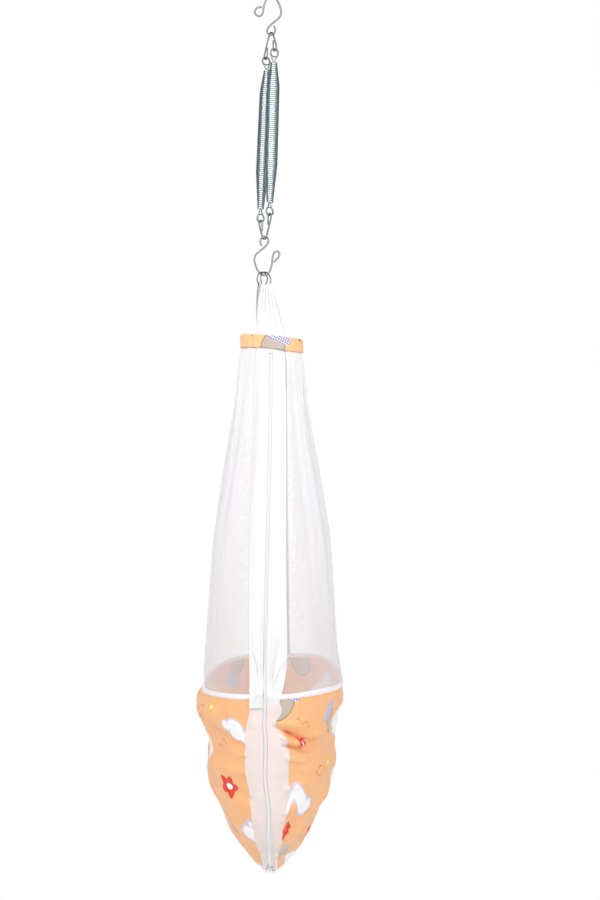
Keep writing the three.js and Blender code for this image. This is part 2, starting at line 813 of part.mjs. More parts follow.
function sliderBody() {
  const [side, lip, bore] = [sliderWidth / 2, rootHalf + fit, chainHalf + fit];
  const [under, roof] = [chainRootHeight - fit, chainHeight + fit];
  const outline = [
    [-lip, 0], [-side, 0], [-side, sliderTop], [side, sliderTop], [side, 0], [lip, 0],
    [lip, under], [bore, under], [bore, roof], [-bore, roof], [-bore, under],
    [-lip, under],
  ].map(([x, y]) => new THREE.Vector2(x, y));
  return new THREE.ExtrudeGeometry(new THREE.Shape(outline),
    { depth: sliderLength, bevelEnabled: false }).translate(0, 0, -sliderLength / 2);
}

function bail() {
  const rise = sliderTop + bailHeight - bailWire / 2;
  const root = sliderTop - sliderWall / 2;
  const [low, high] = [bailLength / 2, bailLength / 3];
  return wire([at(0, root, -low), at(0, sliderTop + bailWire / 2, -low),
    at(0, rise, -high), at(0, rise, high), at(0, sliderTop + bailWire / 2, low),
    at(0, root, low)], bailWire, hookSides, 4 * bendSteps);
}

add('zip_slider', geometryFrom(solid(sliderBody()).add(solid(bail())))
  .applyMatrix4(sliderFrame), zinc);

// The puller hangs from the bail
function puller() {
  const half = pullerWidth / 2;
  const outline = new THREE.Shape();
  outline.absarc(0, 0, half, 0, Math.PI);
  outline.lineTo(-half * pullerTaperShare, -pullerLength);
  outline.lineTo(half * pullerTaperShare, -pullerLength);
  outline.closePath();
  outline.holes.push(new THREE.Path(polygon(pullerHole / 2, loopSides).reverse()));
  return new THREE.ExtrudeGeometry(outline,
    { depth: pullerThickness, bevelEnabled: false, curveSegments: bendSteps })
    .translate(0, 0, -pullerThickness / 2).rotateX(Math.PI / 2);
}
const bailTop = at(0, sliderTop + bailHeight - bailWire / 2, 0).applyMatrix4(sliderFrame);
const pullerDrop = pullerHole / 2 - bailWire / 2 - fit;
add('zip_puller', puller(), zinc, bailTop.clone().add(at(0, 0, -pullerDrop)));

// Plackets beside the zip, below the panels

const placketDepths = levels(netHeight + panelOverhang + fit, chainEnd);
const placketEdge = (depth) => gateHalf + mix(placketWidth, placketEndWidth,
  ((depth - placketDepths[0]) / (chainEnd - placketDepths[0])) ** 3);
for (const side of ['left', 'right']) {
  add(`placket_${side}`,
    strip(side, -1, () => gateHalf, placketEdge, placketDepths, panelColumns,
      () => chainOut + fit, panelCloth), cotton);
}

// The seam tape runs from the zip's end along the keel and up the far end

const bagEnd = netHeight + bagDepth;
const seamSection = [
  [-seamWidth / 2, tapeOut], [seamWidth / 2, tapeOut],
  [seamWidth / 2, tapeOut + seamCloth], [-seamWidth / 2, tapeOut + seamCloth],
];
const seamTop = netHeight + panelOverhang + bindingHeight;
add('keel_seam', sweep(seamSection, [
  ...levels(tapeEnd + bagCloth, bagEnd).map((depth) => middle(depth, -1)),
  ...levels(seamTop, bagEnd).reverse().map((depth) => middle(depth, 1)),
]), cotton);

export default cradle;
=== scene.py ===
# %% [markdown]
# # A hanging baby cradle
#
# This lesson dresses a cloth cradle that hangs on an S hook and a pair of springs. The
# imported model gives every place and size, and each step here makes one real piece: bent
# wire, wound springs, gathered cotton, mosquito net, a printed bag and a zip. Lengths are
# written in millimetres and turned into metres when a mesh is made.

# %% Load the frame
import math
import bpy
import numpy as np
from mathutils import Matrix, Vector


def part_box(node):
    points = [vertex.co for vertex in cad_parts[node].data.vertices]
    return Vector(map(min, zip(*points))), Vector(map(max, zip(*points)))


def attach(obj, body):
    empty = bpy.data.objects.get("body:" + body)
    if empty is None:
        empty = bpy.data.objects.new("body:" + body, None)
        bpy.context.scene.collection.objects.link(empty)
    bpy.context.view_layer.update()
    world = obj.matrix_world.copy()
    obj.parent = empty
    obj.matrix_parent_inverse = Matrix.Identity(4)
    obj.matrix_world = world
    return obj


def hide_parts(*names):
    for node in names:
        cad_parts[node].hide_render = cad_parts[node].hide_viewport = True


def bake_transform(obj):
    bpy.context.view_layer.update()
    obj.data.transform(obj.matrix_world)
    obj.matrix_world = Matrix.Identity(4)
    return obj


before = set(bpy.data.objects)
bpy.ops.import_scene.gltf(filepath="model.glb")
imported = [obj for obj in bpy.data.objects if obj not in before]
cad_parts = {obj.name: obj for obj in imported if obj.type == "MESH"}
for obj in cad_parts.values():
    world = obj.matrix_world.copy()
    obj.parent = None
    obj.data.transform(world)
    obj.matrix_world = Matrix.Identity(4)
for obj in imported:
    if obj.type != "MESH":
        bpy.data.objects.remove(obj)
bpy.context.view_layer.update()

# %% [markdown]
# ## Colour and nodes
#
# Colours are picked as sRGB hex values, the way a paint chart gives them, but Blender
# mixes light in linear values. One function turns the first into the second. A second
# one adds a shader node with its settings and links, and every finish is built with it.

# %% Helpers for finishes
MM = 0.001


def linear(hex_colour):
    channels = [int(hex_colour[i:i + 2], 16) / 255 for i in (1, 3, 5)]
    return (*[c / 12.92 if c <= 0.04045 else ((c + 0.055) / 1.055) ** 2.4
              for c in channels], 1.0)


def node(tree, kind, links=(), **settings):
    """Links go by name or in the sockets' order; a node stands for its first output."""
    made = tree.nodes.new("ShaderNode" + kind)
    for name, value in settings.items():
        setattr(made, name, value)
    for socket, value in (links.items() if isinstance(links, dict) else enumerate(links)):
        if isinstance(value, bpy.types.Node):
            value = value.outputs[0]
        if isinstance(value, bpy.types.NodeSocket):
            tree.links.new(value, made.inputs[socket])
        else:
            made.inputs[socket].default_value = value
    return made


def finish(name, sockets, dress=None):
    """A material with one Principled shader; dress adds nodes and says what they feed."""
    made = bpy.data.materials.new(name)
    made.use_nodes = True
    tree = made.node_tree
    tree.nodes.clear()
    fed = dress(tree) if dress else {}
    shader = node(tree, "BsdfPrincipled", {**sockets, **fed})
    node(tree, "OutputMaterial", {"Surface": shader})
    return made


print("mid grey #808080 is", round(linear("#808080")[0], 3), "in linear light")

# %% [markdown]
# ## Metal finishes
#
# The hooks, links and rings are **hot-dip galvanised steel wire**: dull grey, with a
# faint bloom where the zinc froze. The springs are **zinc-plated spring steel**, smoother
# and bluer, and their eyes are the same steel, duller where the wire was bent and painted
# darker than the coil, a painted shade that keeps them from shining as bright. The zip's
# small parts are **die-cast zinc**. Each keeps the default IOR and takes its look from
# roughness and from noise at the size of the real grain.

# %% Metals
def grain(size, low, high, depth):
    """Roughness between low and high, and a bump, from noise of the grain's size."""
    def dress(tree):
        place = node(tree, "TexCoord").outputs["Object"]
        noise = node(tree, "TexNoise", {
            "Vector": place, "Scale": 1 / (size * MM), "Detail": 4.0})
        rough = node(tree, "MapRange", {
            "Value": noise, "From Min": 0.3, "From Max": 0.7,
            "To Min": low, "To Max": high})
        bump = node(tree, "Bump", {
            "Height": noise, "Strength": 0.35, "Distance": depth * MM})
        return {"Roughness": rough, "Normal": bump}
    return dress


def metal(name, colour, *noise):
    return finish(name, {"Base Color": linear(colour), "Metallic": 1.0}, grain(*noise))


# Each with its grain in mm, its lowest and highest roughness and its relief in mm
galvanised_wire = metal("galvanised_wire", "#8D9190", 1.2, 0.54, 0.66, 0.02)
# The eyes' steel is painted darker than the coil's: painted shade against the bright
# front light
plated_eye_painted_shade = metal("plated_eye_wire_painted_shade", "#848D90", 0.9, 0.42, 0.54, 0.02)
plated_spring = metal("plated_spring", "#C9D3D6", 0.9, 0.24, 0.34, 0.05)
cast_zinc = metal("cast_zinc", "#DADBDA", 0.5, 0.28, 0.42, 0.05)
print("metals:", galvanised_wire.name, plated_eye_painted_shade.name, plated_spring.name,
      cast_zinc.name)

# %% [markdown]
# ## Woven finishes
#
# Cotton is a plain weave: warp and weft cross over and under. Two sine bands multiplied
# give that basket of small bumps. Real threads lie 0.35 mm apart, which is finer than the
# picture can hold, so they are drawn a little coarser, at 0.9 mm. Cloth scatters light at
# a grazing angle, which the sheen gives, and its roughness is near 1.

# %% Cotton
COTTON_THREAD, WEAVE_DEPTH = 0.9, 0.12


def weave(spacing, strength=0.5):
    """A bump of two crossed bands, one for the warp and one for the weft."""
    def dress(tree):
        flat = node(tree, "UVMap", uv_map="cloth")
        bands = [node(tree, "TexWave", {
            "Vector": flat, "Scale": math.pi / (10 * spacing * MM),
            "Distortion": 0.6, "Detail": 1.0}, bands_direction=way).outputs[1]
            for way in "XY"]
        cross = node(tree, "Math", bands, operation="MULTIPLY")
        return {"Normal": node(tree, "Bump", {
            "Height": cross, "Strength": strength, "Distance": WEAVE_DEPTH * MM})}
    return dress


def cloth_finish(name, colour, spacing, **more):
    return finish(name, {
        "Base Color": linear(colour), "Roughness": 0.92, "Sheen Weight": 0.25,
        "Sheen Roughness": 0.5, **more}, weave(spacing))


white_cotton = cloth_finish("white_cotton_twill", "#ECEBEB", COTTON_THREAD)
# Bias tape is woven finer, so it looks smoother, and the zip's tape coarser. Both are
# drawn as coarse as they need to show, at 0.7 and 1.1 mm.
bias_tape = cloth_finish("white_bias_tape", "#F9F4FA", 0.7)
zip_tape_weave = cloth_finish("woven_zip_tape", "#FAFAFC", 1.1)
# Spun polyester has a faint lustre. Moulded nylon is satin, with a soft highlight.
sewing_thread = finish("polyester_thread", {
    "Base Color": linear("#F1EDEA"), "Roughness": 0.6})
nylon_coil = finish("moulded_nylon_coil", {
    "Base Color": linear("#F4F4F5"), "Roughness": 0.5})
print("cotton threads drawn", COTTON_THREAD, "mm apart")

# %% [markdown]
# ## Mosquito net and lawn
#
# The net is **knitted polyester** with holes of about 1.2 mm. It is drawn at 2 mm, with
# threads that hide more light than the holes do, so that the net stays sheer and still
# shows its mesh close by. The plackets beside the zip are **cotton lawn**, thin enough
# for the peach print to blush through.

# %% Net and lawn
NET_HOLE = 2.0
NET_CLEAR, NET_THREAD, NET_GRAZING = 0.08, 0.33, 0.3
# Where the cover starts and stops fading, in metres from the band, and what it fades to
NET_FADE = (-0.34, 0.0, 0.4)


def net_dress(tree):
    """Seen at a slant, the threads close up and the net hides more. Towards the band
    it is drawn finer, because the bright room behind washes its threads out there."""
    flat = node(tree, "UVMap", uv_map="cloth")
    cells = node(tree, "TexVoronoi", {
        "Vector": flat, "Scale": 1 / (NET_HOLE * MM), "Randomness": 0.12},
        voronoi_dimensions="2D", feature="DISTANCE_TO_EDGE")
    cover = node(tree, "MapRange", {
        "Value": cells, "From Min": 0.08, "From Max": 0.2,
        "To Min": NET_THREAD, "To Max": NET_CLEAR})
    slant = node(tree, "LayerWeight", {"Blend": 0.35}).outputs["Facing"]
    closed = node(tree, "Math", (slant, NET_GRAZING, cover),
                  operation="MULTIPLY_ADD", use_clamp=True)
    start, stop, least = NET_FADE
    fade = node(tree, "MapRange", {
        "Value": node(tree, "SeparateXYZ", (flat,)).outputs[1],
        "From Min": start, "From Max": stop, "To Min": 1.0, "To Max": least},
        interpolation_type="SMOOTHSTEP")
    return {"Alpha": node(tree, "Math", (closed, fade), operation="MULTIPLY")}


mosquito_net = finish("knitted_mosquito_net", {
    "Base Color": linear("#FAF9FC"), "Roughness": 0.95, "Sheen Weight": 0.3}, net_dress)
# The lawn's fine threads are drawn coarse too, at 0.8 mm
cotton_lawn = cloth_finish("cotton_lawn", "#FFEFEA", 0.8, Alpha=0.84)
print("net holes drawn", NET_HOLE, "mm across")

# %% [markdown]
# ## Printed cotton
#
# The bag and the band are **plain-woven cotton with a rotary print**. The repeat is
# drawn as 240 units of 1.5 mm, so it is 360 mm on the cloth. It carries clouds, acorns
# with a checked cap, round stars, leaves drawn in one line, small suns and waves. Each
# motif is a distance field: a number that is negative inside the shape. One repeat is
# wrapped round each motif's own middle, so that none is cut at the edge of the repeat.

# %% Motifs
REPEAT = 240.0
PEACH, PEACH_DEEP = "#FEC490", "#FAB77E"
# The band's two grounds are painted paler than the bag's, as painted light
BAND_PEACH_PAINTED_LIGHT, BAND_PEACH_DEEP_PAINTED_LIGHT = "#FFCF9A", "#FDC58A"
CHALK, LILAC, RED, SUN = "#FBFAFC", "#D9D4EC", "#E8402A", "#F9C93C"
STONE, VIOLET, INK = "#C9B7AC", "#7460A8", "#8A7468"


def local(tree, flat, x, y, degrees, size):
    """The cloth's coordinates round a motif's middle, in units of its own size."""
    half = REPEAT / 2
    moved = node(tree, "VectorMath", (flat, (x, y, 0.0)), operation="SUBTRACT")
    wrapped = node(tree, "VectorMath", (moved, [half] * 3, [-half] * 3), operation="WRAP")
    turned = node(tree, "VectorRotate", {
        "Vector": wrapped, "Angle": math.radians(degrees)}, rotation_type="Z_AXIS")
    return node(tree, "VectorMath", {0: turned, "Scale": 1 / size}, operation="SCALE")


def disc(tree, place, x, y, radius, stretch=(1.0, 1.0)):
    scaled = node(tree, "VectorMath", (place, (*stretch, 0.0)), operation="MULTIPLY")
    middle = (x * stretch[0], y * stretch[1], 0.0)
    far = node(tree, "VectorMath", (scaled, middle), operation="DISTANCE")
    return node(tree, "Math", (far.outputs["Value"], radius), operation="SUBTRACT")


def petals(tree, place, count, radius, wave):
    """A round shape whose radius swells count times round it."""
    x, y, _ = node(tree, "SeparateXYZ", (place,)).outputs
    angle = node(tree, "Math", (y, x), operation="ARCTAN2")
    turns = node(tree, "Math", (angle, count), operation="MULTIPLY")
    ripple = node(tree, "Math", (turns,), operation="COSINE")
    edge = node(tree, "Math", (ripple, wave, radius), operation="MULTIPLY_ADD")
    far = node(tree, "VectorMath", (place,), operation="LENGTH")
    return node(tree, "Math", (far.outputs["Value"], edge), operation="SUBTRACT")


def line(tree, field, width):
    """A line along the edge of a shape, this wide on each side of it."""
    far = node(tree, "Math", (field,), operation="ABSOLUTE")
    return node(tree, "Math", (far, width), operation="SUBTRACT")


print("the print repeats every", REPEAT, "units")

# %% Each motif gives pairs of a field and a colour, the lowest first
def cloud(tree, place):
    whole, *puffs = [disc(tree, place, *puff) for puff in (
        (0, 4, 19), (-20, -3, 12), (19, -4, 13), (2, -8, 15))]
    for puff in puffs:
        whole = node(tree, "Math", (whole, puff), operation="MINIMUM")
    inside = node(tree, "Math", (whole, 3.2), operation="ADD")
    return [(whole, LILAC), (inside, CHALK)]


def acorn(tree, place):
    nut = disc(tree, place, 0, -6, 13, (1.0, 0.72))
    domes = disc(tree, place, 0, 7, 17, (1.0, 1.5)), disc(tree, place, 0, 44, 44)
    cap = node(tree, "Math", domes, operation="MAXIMUM")
    x, y, _ = node(tree, "SeparateXYZ", (place,)).outputs
    rows = []
    for way in ("ADD", "SUBTRACT"):
        slant = node(tree, "Math", (x, y), operation=way)
        turns = node(tree, "Math", (slant, 1.15), operation="MULTIPLY")
        rows.append(node(tree, "Math", (turns,), operation="SINE"))
    squares = node(tree, "Math", rows, operation="MULTIPLY")
    check = node(tree, "Math", (cap, squares), operation="MAXIMUM")
    return [(nut, STONE), (line(tree, nut, 0.5), INK), (cap, CHALK), (check, VIOLET)]


def star(tree, place):
    return [(petals(tree, place, 5, 12, 2.6), RED), (disc(tree, place, 0, 0, 4), CHALK)]


def leaf(tree, place):
    sides = [disc(tree, place, x, 0, 22) for x in (-13, 13)]
    blade = node(tree, "Math", sides, operation="MAXIMUM")
    return [(line(tree, blade, 0.6), RED)]


def sun(tree, place):
    return [(petals(tree, place, 8, 8.5, 1.8), SUN), (disc(tree, place, 0, 0, 3), CHALK)]


def waves(tree, place):
    x, y, _ = node(tree, "SeparateXYZ", (place,)).outputs
    turns = node(tree, "Math", (x, 0.32), operation="MULTIPLY")
    swing = node(tree, "Math", (turns,), operation="SINE")
    curve = node(tree, "Math", (swing, -4.0, y), operation="MULTIPLY_ADD")
    ends = line(tree, curve, 0.7), disc(tree, place, 0, 0, 17)
    return [(node(tree, "Math", ends, operation="MAXIMUM"), RED)]


print("motifs:", [motif.__name__ for motif in (cloud, acorn, star, leaf, sun, waves)])

# %% [markdown]
# The repeat places each motif by its middle, its turn and its size. The layout is drawn
# so that large motifs stand apart and the small ones fill the gaps between them.

# %% Lay out the repeat
LAYOUT = (
    (cloud, 52, 40, 8, 1.15), (cloud, 176, 158, -14, 1.0), (cloud, 60, 196, 30, 0.7),
    (acorn, 128, 84, 24, 1.25), (acorn, 222, 52, -35, 1.1), (acorn, 118, 216, 160, 1.15),
    (star, 30, 112, 10, 1.15), (star, 176, 100, 40, 0.95), (star, 166, 14, 0, 0.9),
    (leaf, 78, 128, 35, 0.9), (leaf, 226, 116, -20, 0.8), (leaf, 210, 214, 70, 0.8),
    (sun, 104, 26, 0, 1.0), (sun, 112, 160, 0, 1.15), (sun, 16, 222, 0, 1.0),
    (waves, 16, 168, -30, 0.9), (waves, 160, 50, 20, 0.8),
)
# Half a dye's soft edge and a blotch of the ground, in units, and a unit in mm
DYE_EDGE, BLOTCH, PRINT_SIZE = 0.35, 55.0, 1.5


def printed(ground, ground_deep):
    def dress(tree):
        flat = node(tree, "UVMap", uv_map="cloth")
        sized = node(tree, "VectorMath", {0: flat, "Scale": 1 / (PRINT_SIZE * MM)},
                     operation="SCALE")
        blotch = node(tree, "TexNoise", {
            "Vector": sized, "Scale": 1 / BLOTCH, "Detail": 3.0})
        colour, dyes = linear(ground), [(blotch, ground_deep)]
        for motif, *place in LAYOUT:
            for field, dye in motif(tree, local(tree, sized, *place)):
                dyes.append((node(tree, "MapRange", {
                    "Value": field, "From Min": DYE_EDGE, "From Max": -DYE_EDGE}), dye))
        for cover, dye in dyes:
            colour = node(tree, "Mix", {
                "Factor": cover, "A": colour, "B": linear(dye)},
                data_type="RGBA").outputs[2]
        return {"Base Color": colour, **weave(COTTON_THREAD, 0.4)(tree)}
    return dress


PRINT_SHEEN = {"Roughness": 0.88, "Sheen Weight": 0.2, "Sheen Roughness": 0.5}
printed_cotton = finish("printed_cotton", PRINT_SHEEN, printed(PEACH, PEACH_DEEP))
# The band stands off the net with light behind it, so its ground is painted paler
# than the bag's, as painted light
band_cotton_painted_light = finish("printed_cotton_band_painted_light", PRINT_SHEEN,
                     printed(BAND_PEACH_PAINTED_LIGHT, BAND_PEACH_DEEP_PAINTED_LIGHT))
print("printed cotton:", len(printed_cotton.node_tree.nodes), "nodes")

# %% [markdown]
# ## Meshes
#
# Almost everything here is either wire, which is a circle carried along a line, or
# cloth, which is a grid of points. Two functions make those. Both lay down a UV map in
# metres of real cloth or wire, so that a weave or a print keeps its size.

# %% Grids
def mesh_piece(name, points, faces, uvs, material, body="cradle"):
    """A mesh from points in metres. It rides on the body, or on none yet for None."""
    mesh = bpy.data.meshes.new(name)
    mesh.from_pydata(points.tolist(), [], list(faces))
    layer = mesh.uv_layers.new(name="cloth")
    corners = np.zeros(len(mesh.loops), int)
    mesh.loops.foreach_get("vertex_index", corners)
    layer.data.foreach_set("uv", uvs[corners].ravel())
    mesh.shade_smooth()
    mesh.materials.append(material)
    piece = bpy.data.objects.new(name, mesh)
    bpy.context.scene.collection.objects.link(piece)
    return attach(piece, body) if body else piece


def stands_for(piece, solid):
    """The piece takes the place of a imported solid."""
    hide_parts(solid)
    return piece


def grid_faces(rows, columns, round_it=False):
    row, column = np.meshgrid(np.arange(rows - 1),
                              np.arange(columns - (0 if round_it else 1)), indexing="ij")
    a = row * columns + column
    b = row * columns + (column + 1) % columns
    return np.stack([a, b, b + columns, a + columns], -1).reshape(-1, 4)


def run_lengths(points, axis=0):
    """The lengths along rows of points, each from zero."""
    steps = np.linalg.norm(np.diff(points, axis=axis), axis=-1)
    start = np.zeros_like(np.take(steps, [0], axis))
    return np.cumsum(np.concatenate([start, steps], axis), axis)


def cloth_length(line_points):
    """The length in metres of a line of points in millimetres."""
    return float(run_lengths(line_points)[-1]) * MM


def flat_area(points):
    """The area in square metres of a grid of points in millimetres."""
    p = points * MM
    one = np.cross(p[1:, 1:] - p[:-1, :-1], p[1:, :-1] - p[:-1, 1:])
    return float(np.linalg.norm(one, axis=-1).sum() / 2)


def cloth_piece(name, points, material, thickness, origin=(0.0, 0.0), mirror=False):
    """A sheet from a grid of points in millimetres, rows down and columns across."""
    points = points * MM
    rows, columns = points.shape[:2]
    across, down = run_lengths(points, 1), run_lengths(points, 0)
    across = (across - across[:, [columns // 2]]) * (-1 if mirror else 1)
    uvs = np.stack([origin[0] + across, origin[1] - down], -1).reshape(-1, 2)
    piece = mesh_piece(name, points.reshape(-1, 3), grid_faces(rows, columns), uvs,
                       material)
    solidify = piece.modifiers.new("thickness", "SOLIDIFY")
    solidify.thickness = thickness * MM
    solidify.offset = 0.0
    return piece


print("a grid of 3 by 4 points has", len(grid_faces(3, 4)), "faces, and",
      len(grid_faces(3, 4, True)), "if it closes")

# %% Wires
UP = np.array([0, 0, 1.0])
ODD_WAY = (0.13, 0.9, 0.41)  # along no wire, so a wire's first ring can start from it
CAP_ANGLES = (0.45, 0.9, 1.3)  # the rows of a rounded end, in radians


def unit(ways):
    return ways / np.linalg.norm(ways, axis=-1)[..., None]


def hermite(t, start, leaving, stop, arriving):
    """A cubic from start to stop, with its slopes over the whole span."""
    return ((2 * t ** 3 - 3 * t ** 2 + 1) * start + (t ** 3 - 2 * t ** 2 + t) * leaving
            + (3 * t ** 2 - 2 * t ** 3) * stop + (t ** 3 - t ** 2) * arriving)


def sample(points, run, where):
    """Points at the given lengths of a path whose own points lie at the lengths run."""
    return np.stack([np.interp(where, run, points[:, k]) for k in range(3)], 1)


def smooth_path(points, steps):
    """A centripetal spline through the points, sampled at even lengths."""
    p = np.vstack([2 * points[0] - points[1], points, 2 * points[-1] - points[-2]])
    found = []
    for a, b, c, d in zip(p[:-3], p[1:-2], p[2:-1], p[3:]):
        t0, t1, t2 = [np.linalg.norm(w - v) ** 0.5 for v, w in ((a, b), (b, c), (c, d))]
        leaving = (b - a) / t0 - (c - a) / (t0 + t1) + (c - b) / t1
        arriving = (c - b) / t1 - (d - b) / (t1 + t2) + (d - c) / t2
        t = np.linspace(0, 1, 12, endpoint=False)[:, None]
        found.append(hermite(t, b, leaving * t1, c, arriving * t1))
    path = np.vstack([*found, p[-2:-1]])
    run = run_lengths(path)
    return sample(path, run, np.linspace(0, run[-1], steps))


def end_faces(rows, sides):
    """One face over each end of a tube."""
    last = (rows - 1) * sides
    return [list(range(sides))[::-1], list(range(last, last + sides))]


def tube_piece(name, rings, girth, material, body="cradle", closed=False):
    """A tube from rings of points in mm; girth is how far round it each point lies."""
    rows, sides = rings.shape[:2]
    if closed:
        faces = (grid_faces(rows + 1, sides, True) % (rows * sides)).tolist()
    else:
        faces = grid_faces(rows, sides, True).tolist() + end_faces(rows, sides)
    run = run_lengths(rings.mean(1))
    uvs = np.stack(np.meshgrid(run, girth, indexing="ij"), -1).reshape(-1, 2) * MM
    return mesh_piece(name, rings.reshape(-1, 3) * MM, faces, uvs, material, body)


def rounded_ends(rings, path, tangent, diameter):
    caps = [np.array([path[end] + (rings[end] - path[end]) * math.cos(a)
                      + sense * tangent[end] * math.sin(a) * diameter / 2
                      for a in CAP_ANGLES]) for end, sense in ((0, -1), (-1, 1))]
    return np.concatenate([caps[0][::-1], rings, caps[1]])


def wire_piece(name, path, diameter, material, body, sides=14, closed=False):
    """Round wire along a path in mm. Its rings turn as little as they can."""
    tangent = unit(np.roll(path, -1, 0) - np.roll(path, 1, 0) if closed
                   else np.gradient(path, axis=0))
    angle = np.linspace(0, 2 * math.pi, sides, endpoint=False)
    across, rings = np.cross(tangent[0], ODD_WAY), []
    for point, way in zip(path, tangent):
        across = unit(across - way * across.dot(way))
        rings.append(point + diameter / 2 * (
            np.outer(np.cos(angle), across)
            + np.outer(np.sin(angle), np.cross(way, across))))
    rings = np.array(rings)
    if not closed:
        rings = rounded_ends(rings, path, tangent, diameter)
    return tube_piece(name, rings, angle * diameter / 2, material, body, closed)


bent = smooth_path(np.array([[0, 0, 0], [10, 0, 0], [10, 10, 0]], float), 5)
print("even steps round a bend, mm:", np.diff(run_lengths(bent)).round(1))

# %% [markdown]
# ## Hooks and links
#
# Both S hooks are bent from one length of 4 mm wire: a large bow with a safety curl, and
# a small eye. The lower hook is the upper one turned half round, and its curl is taller
# and narrower. The V links are bent from 3.6 mm wire: a round apex, a long and a short
# leg, and a narrow hook on each.

# %% S hooks
FIT = 0.3
HOOK_WIRE, HOOK_LENGTH = 4.0, 82.8
LINK_WIRE, LINK_PLAY = 3.6, 1.2
# Shares of the hook's length: the round curl, the tall one, and then the rest
UPPER_CURL = (
    (-0.266, -0.284), (-0.324, -0.279), (-0.399, -0.319), (-0.432, -0.394),
    (-0.405, -0.47), (-0.339, -0.51), (-0.269, -0.495), (-0.224, -0.425),
    (-0.209, -0.327),
)
LOWER_CURL = (
    (-0.27, -0.352), (-0.306, -0.392), (-0.352, -0.44), (-0.394, -0.505),
    (-0.402, -0.57), (-0.358, -0.62), (-0.29, -0.608), (-0.241, -0.535),
    (-0.222, -0.44), (-0.21, -0.33),
)
HOOK_OUTLINE = (
    (-0.188, -0.214), (-0.148, -0.108), (-0.083, -0.028), (0, 0), (0.088, -0.038),
    (0.168, -0.138), (0.229, -0.289), (0.249, -0.42), (0.214, -0.528),
    (0.113, -0.628), (-0.013, -0.731), (-0.088, -0.817), (-0.116, -0.892),
    (-0.088, -0.967), (-0.013, -1), (0.063, -0.967), (0.095, -0.892),
    (0.088, -0.824), (0.07, -0.781),
)
EYE_SHIFT = -0.013 * HOOK_LENGTH
LINK_SEAT = (HOOK_WIRE + LINK_WIRE) / 2 + LINK_PLAY
SPRING_LENGTH, EYE_NECK, EYE_RADIUS, EYE_WIRE, EYE_PLAY = 300.0, 20.0, 8.5, 2.5, 0.9
EYE_SEAT = (LINK_WIRE + EYE_WIRE) / 2 + EYE_PLAY
LONG_DROP, LONG_SPREAD, SHORT_DROP, SHORT_SPREAD = 52.7, 21.0, 42.0, 15.5

upper_bow = np.array([0, 0, HOOK_WIRE / 2])
upper_eye = upper_bow + [EYE_SHIFT, 0, -HOOK_LENGTH]
upper_apex = upper_eye + [0, 0, LINK_SEAT]
spring_reach = SPRING_LENGTH + 2 * (EYE_NECK + EYE_RADIUS - EYE_SEAT)
lower_apex = upper_apex - [14.0, 0, LONG_DROP + spring_reach + SHORT_DROP]
lower_bow = lower_apex + [EYE_SHIFT, 0, LINK_SEAT - HOOK_LENGTH]


def s_hook(name, curl, bow, sense, body):
    outline = np.array([(x, 0, z) for x, z in curl + HOOK_OUTLINE]) * sense * HOOK_LENGTH
    piece = wire_piece(name + "_wire", smooth_path(outline + bow, 220), HOOK_WIRE,
                       galvanised_wire, body)
    stands_for(piece, name)


s_hook("upper_s_hook", UPPER_CURL, upper_bow, 1, "upper_hook")
s_hook("lower_s_hook", LOWER_CURL, lower_bow, -1, "lower_hook")
print("lower bow at", lower_bow.round(1), "mm")

# %% V links
LINK_YAW = math.radians(-57)
APEX_RADIUS, HOOK_RADIUS, LINK_RETURN, LEG_LEAN = 9.0, 6.3, 22.0, 25.0


def heading(yaw):
    """The level direction that lies turned by yaw from X."""
    return np.array([math.cos(yaw), math.sin(yaw), 0])


def bend(x, z, radius, start, stop):
    angle = np.radians(np.linspace(start, stop, 7))
    return np.stack([x + radius * np.cos(angle), z + radius * np.sin(angle)], 1)


def leg(spread, drop):
    apex = bend(0, -APEX_RADIUS, APEX_RADIUS, 90, LEG_LEAN)[1:]
    hook = bend(spread, HOOK_RADIUS - drop, HOOK_RADIUS, LEG_LEAN, -180)
    return np.vstack([apex, hook, [[spread - HOOK_RADIUS, LINK_RETURN - drop]]])


def v_link(name, apex, sense, body):
    long, short = leg(LONG_SPREAD, LONG_DROP), leg(SHORT_SPREAD, SHORT_DROP)
    outline = np.vstack([long[::-1] * [-1, 1], [[0, 0]], short]) * sense
    points = apex + np.outer(outline[:, 0], along) + np.outer(outline[:, 1], UP)
    piece = wire_piece(name + "_wire", smooth_path(points, 200), LINK_WIRE,
                       galvanised_wire, body)
    stands_for(piece, name)


along = heading(LINK_YAW)
v_link("upper_v_link", upper_apex, 1, "upper_link")
v_link("lower_v_link", lower_apex, -1, "lower_link")
print("lower link's apex at", lower_apex.round(1), "mm")

# %% [markdown]
# ## Springs
#
# A close-wound spring has its turns side by side, so the pitch is only a little more
# than the wire. Here 68 turns of 4 mm wire fill 300 mm. The ends are wound down to cones,
# and an eye of thinner wire sits trapped in each. As the spring stretches, its turns open
# evenly from the upper eye to the lower one; here the coil is one mesh that rides on no
# body.

# %% Coils
SPRING_WIRE, SPRING_WIDTH, TIP_WIDTH, TURNS = 4.0, 29.0, 15.0, 68
UPPER_CONE, LOWER_CONE, SPRING_SPACING = 50.0, 80.0, 30.0
PAIR_YAWS = (math.radians(-60), math.radians(-47))
SIDES = {"left": -1, "right": 1}
FLIPPED = (1, -1)  # a spring's lower end is its upper end, turned over


def link_end(apex, sense, spread, drop):
    return apex + along * sense * spread - UP * sense * drop


hooks = {
    "left": (link_end(upper_apex, 1, -LONG_SPREAD, LONG_DROP),
             link_end(lower_apex, -1, SHORT_SPREAD, SHORT_DROP)),
    "right": (link_end(upper_apex, 1, SHORT_SPREAD, SHORT_DROP),
              link_end(lower_apex, -1, -LONG_SPREAD, LONG_DROP)),
}


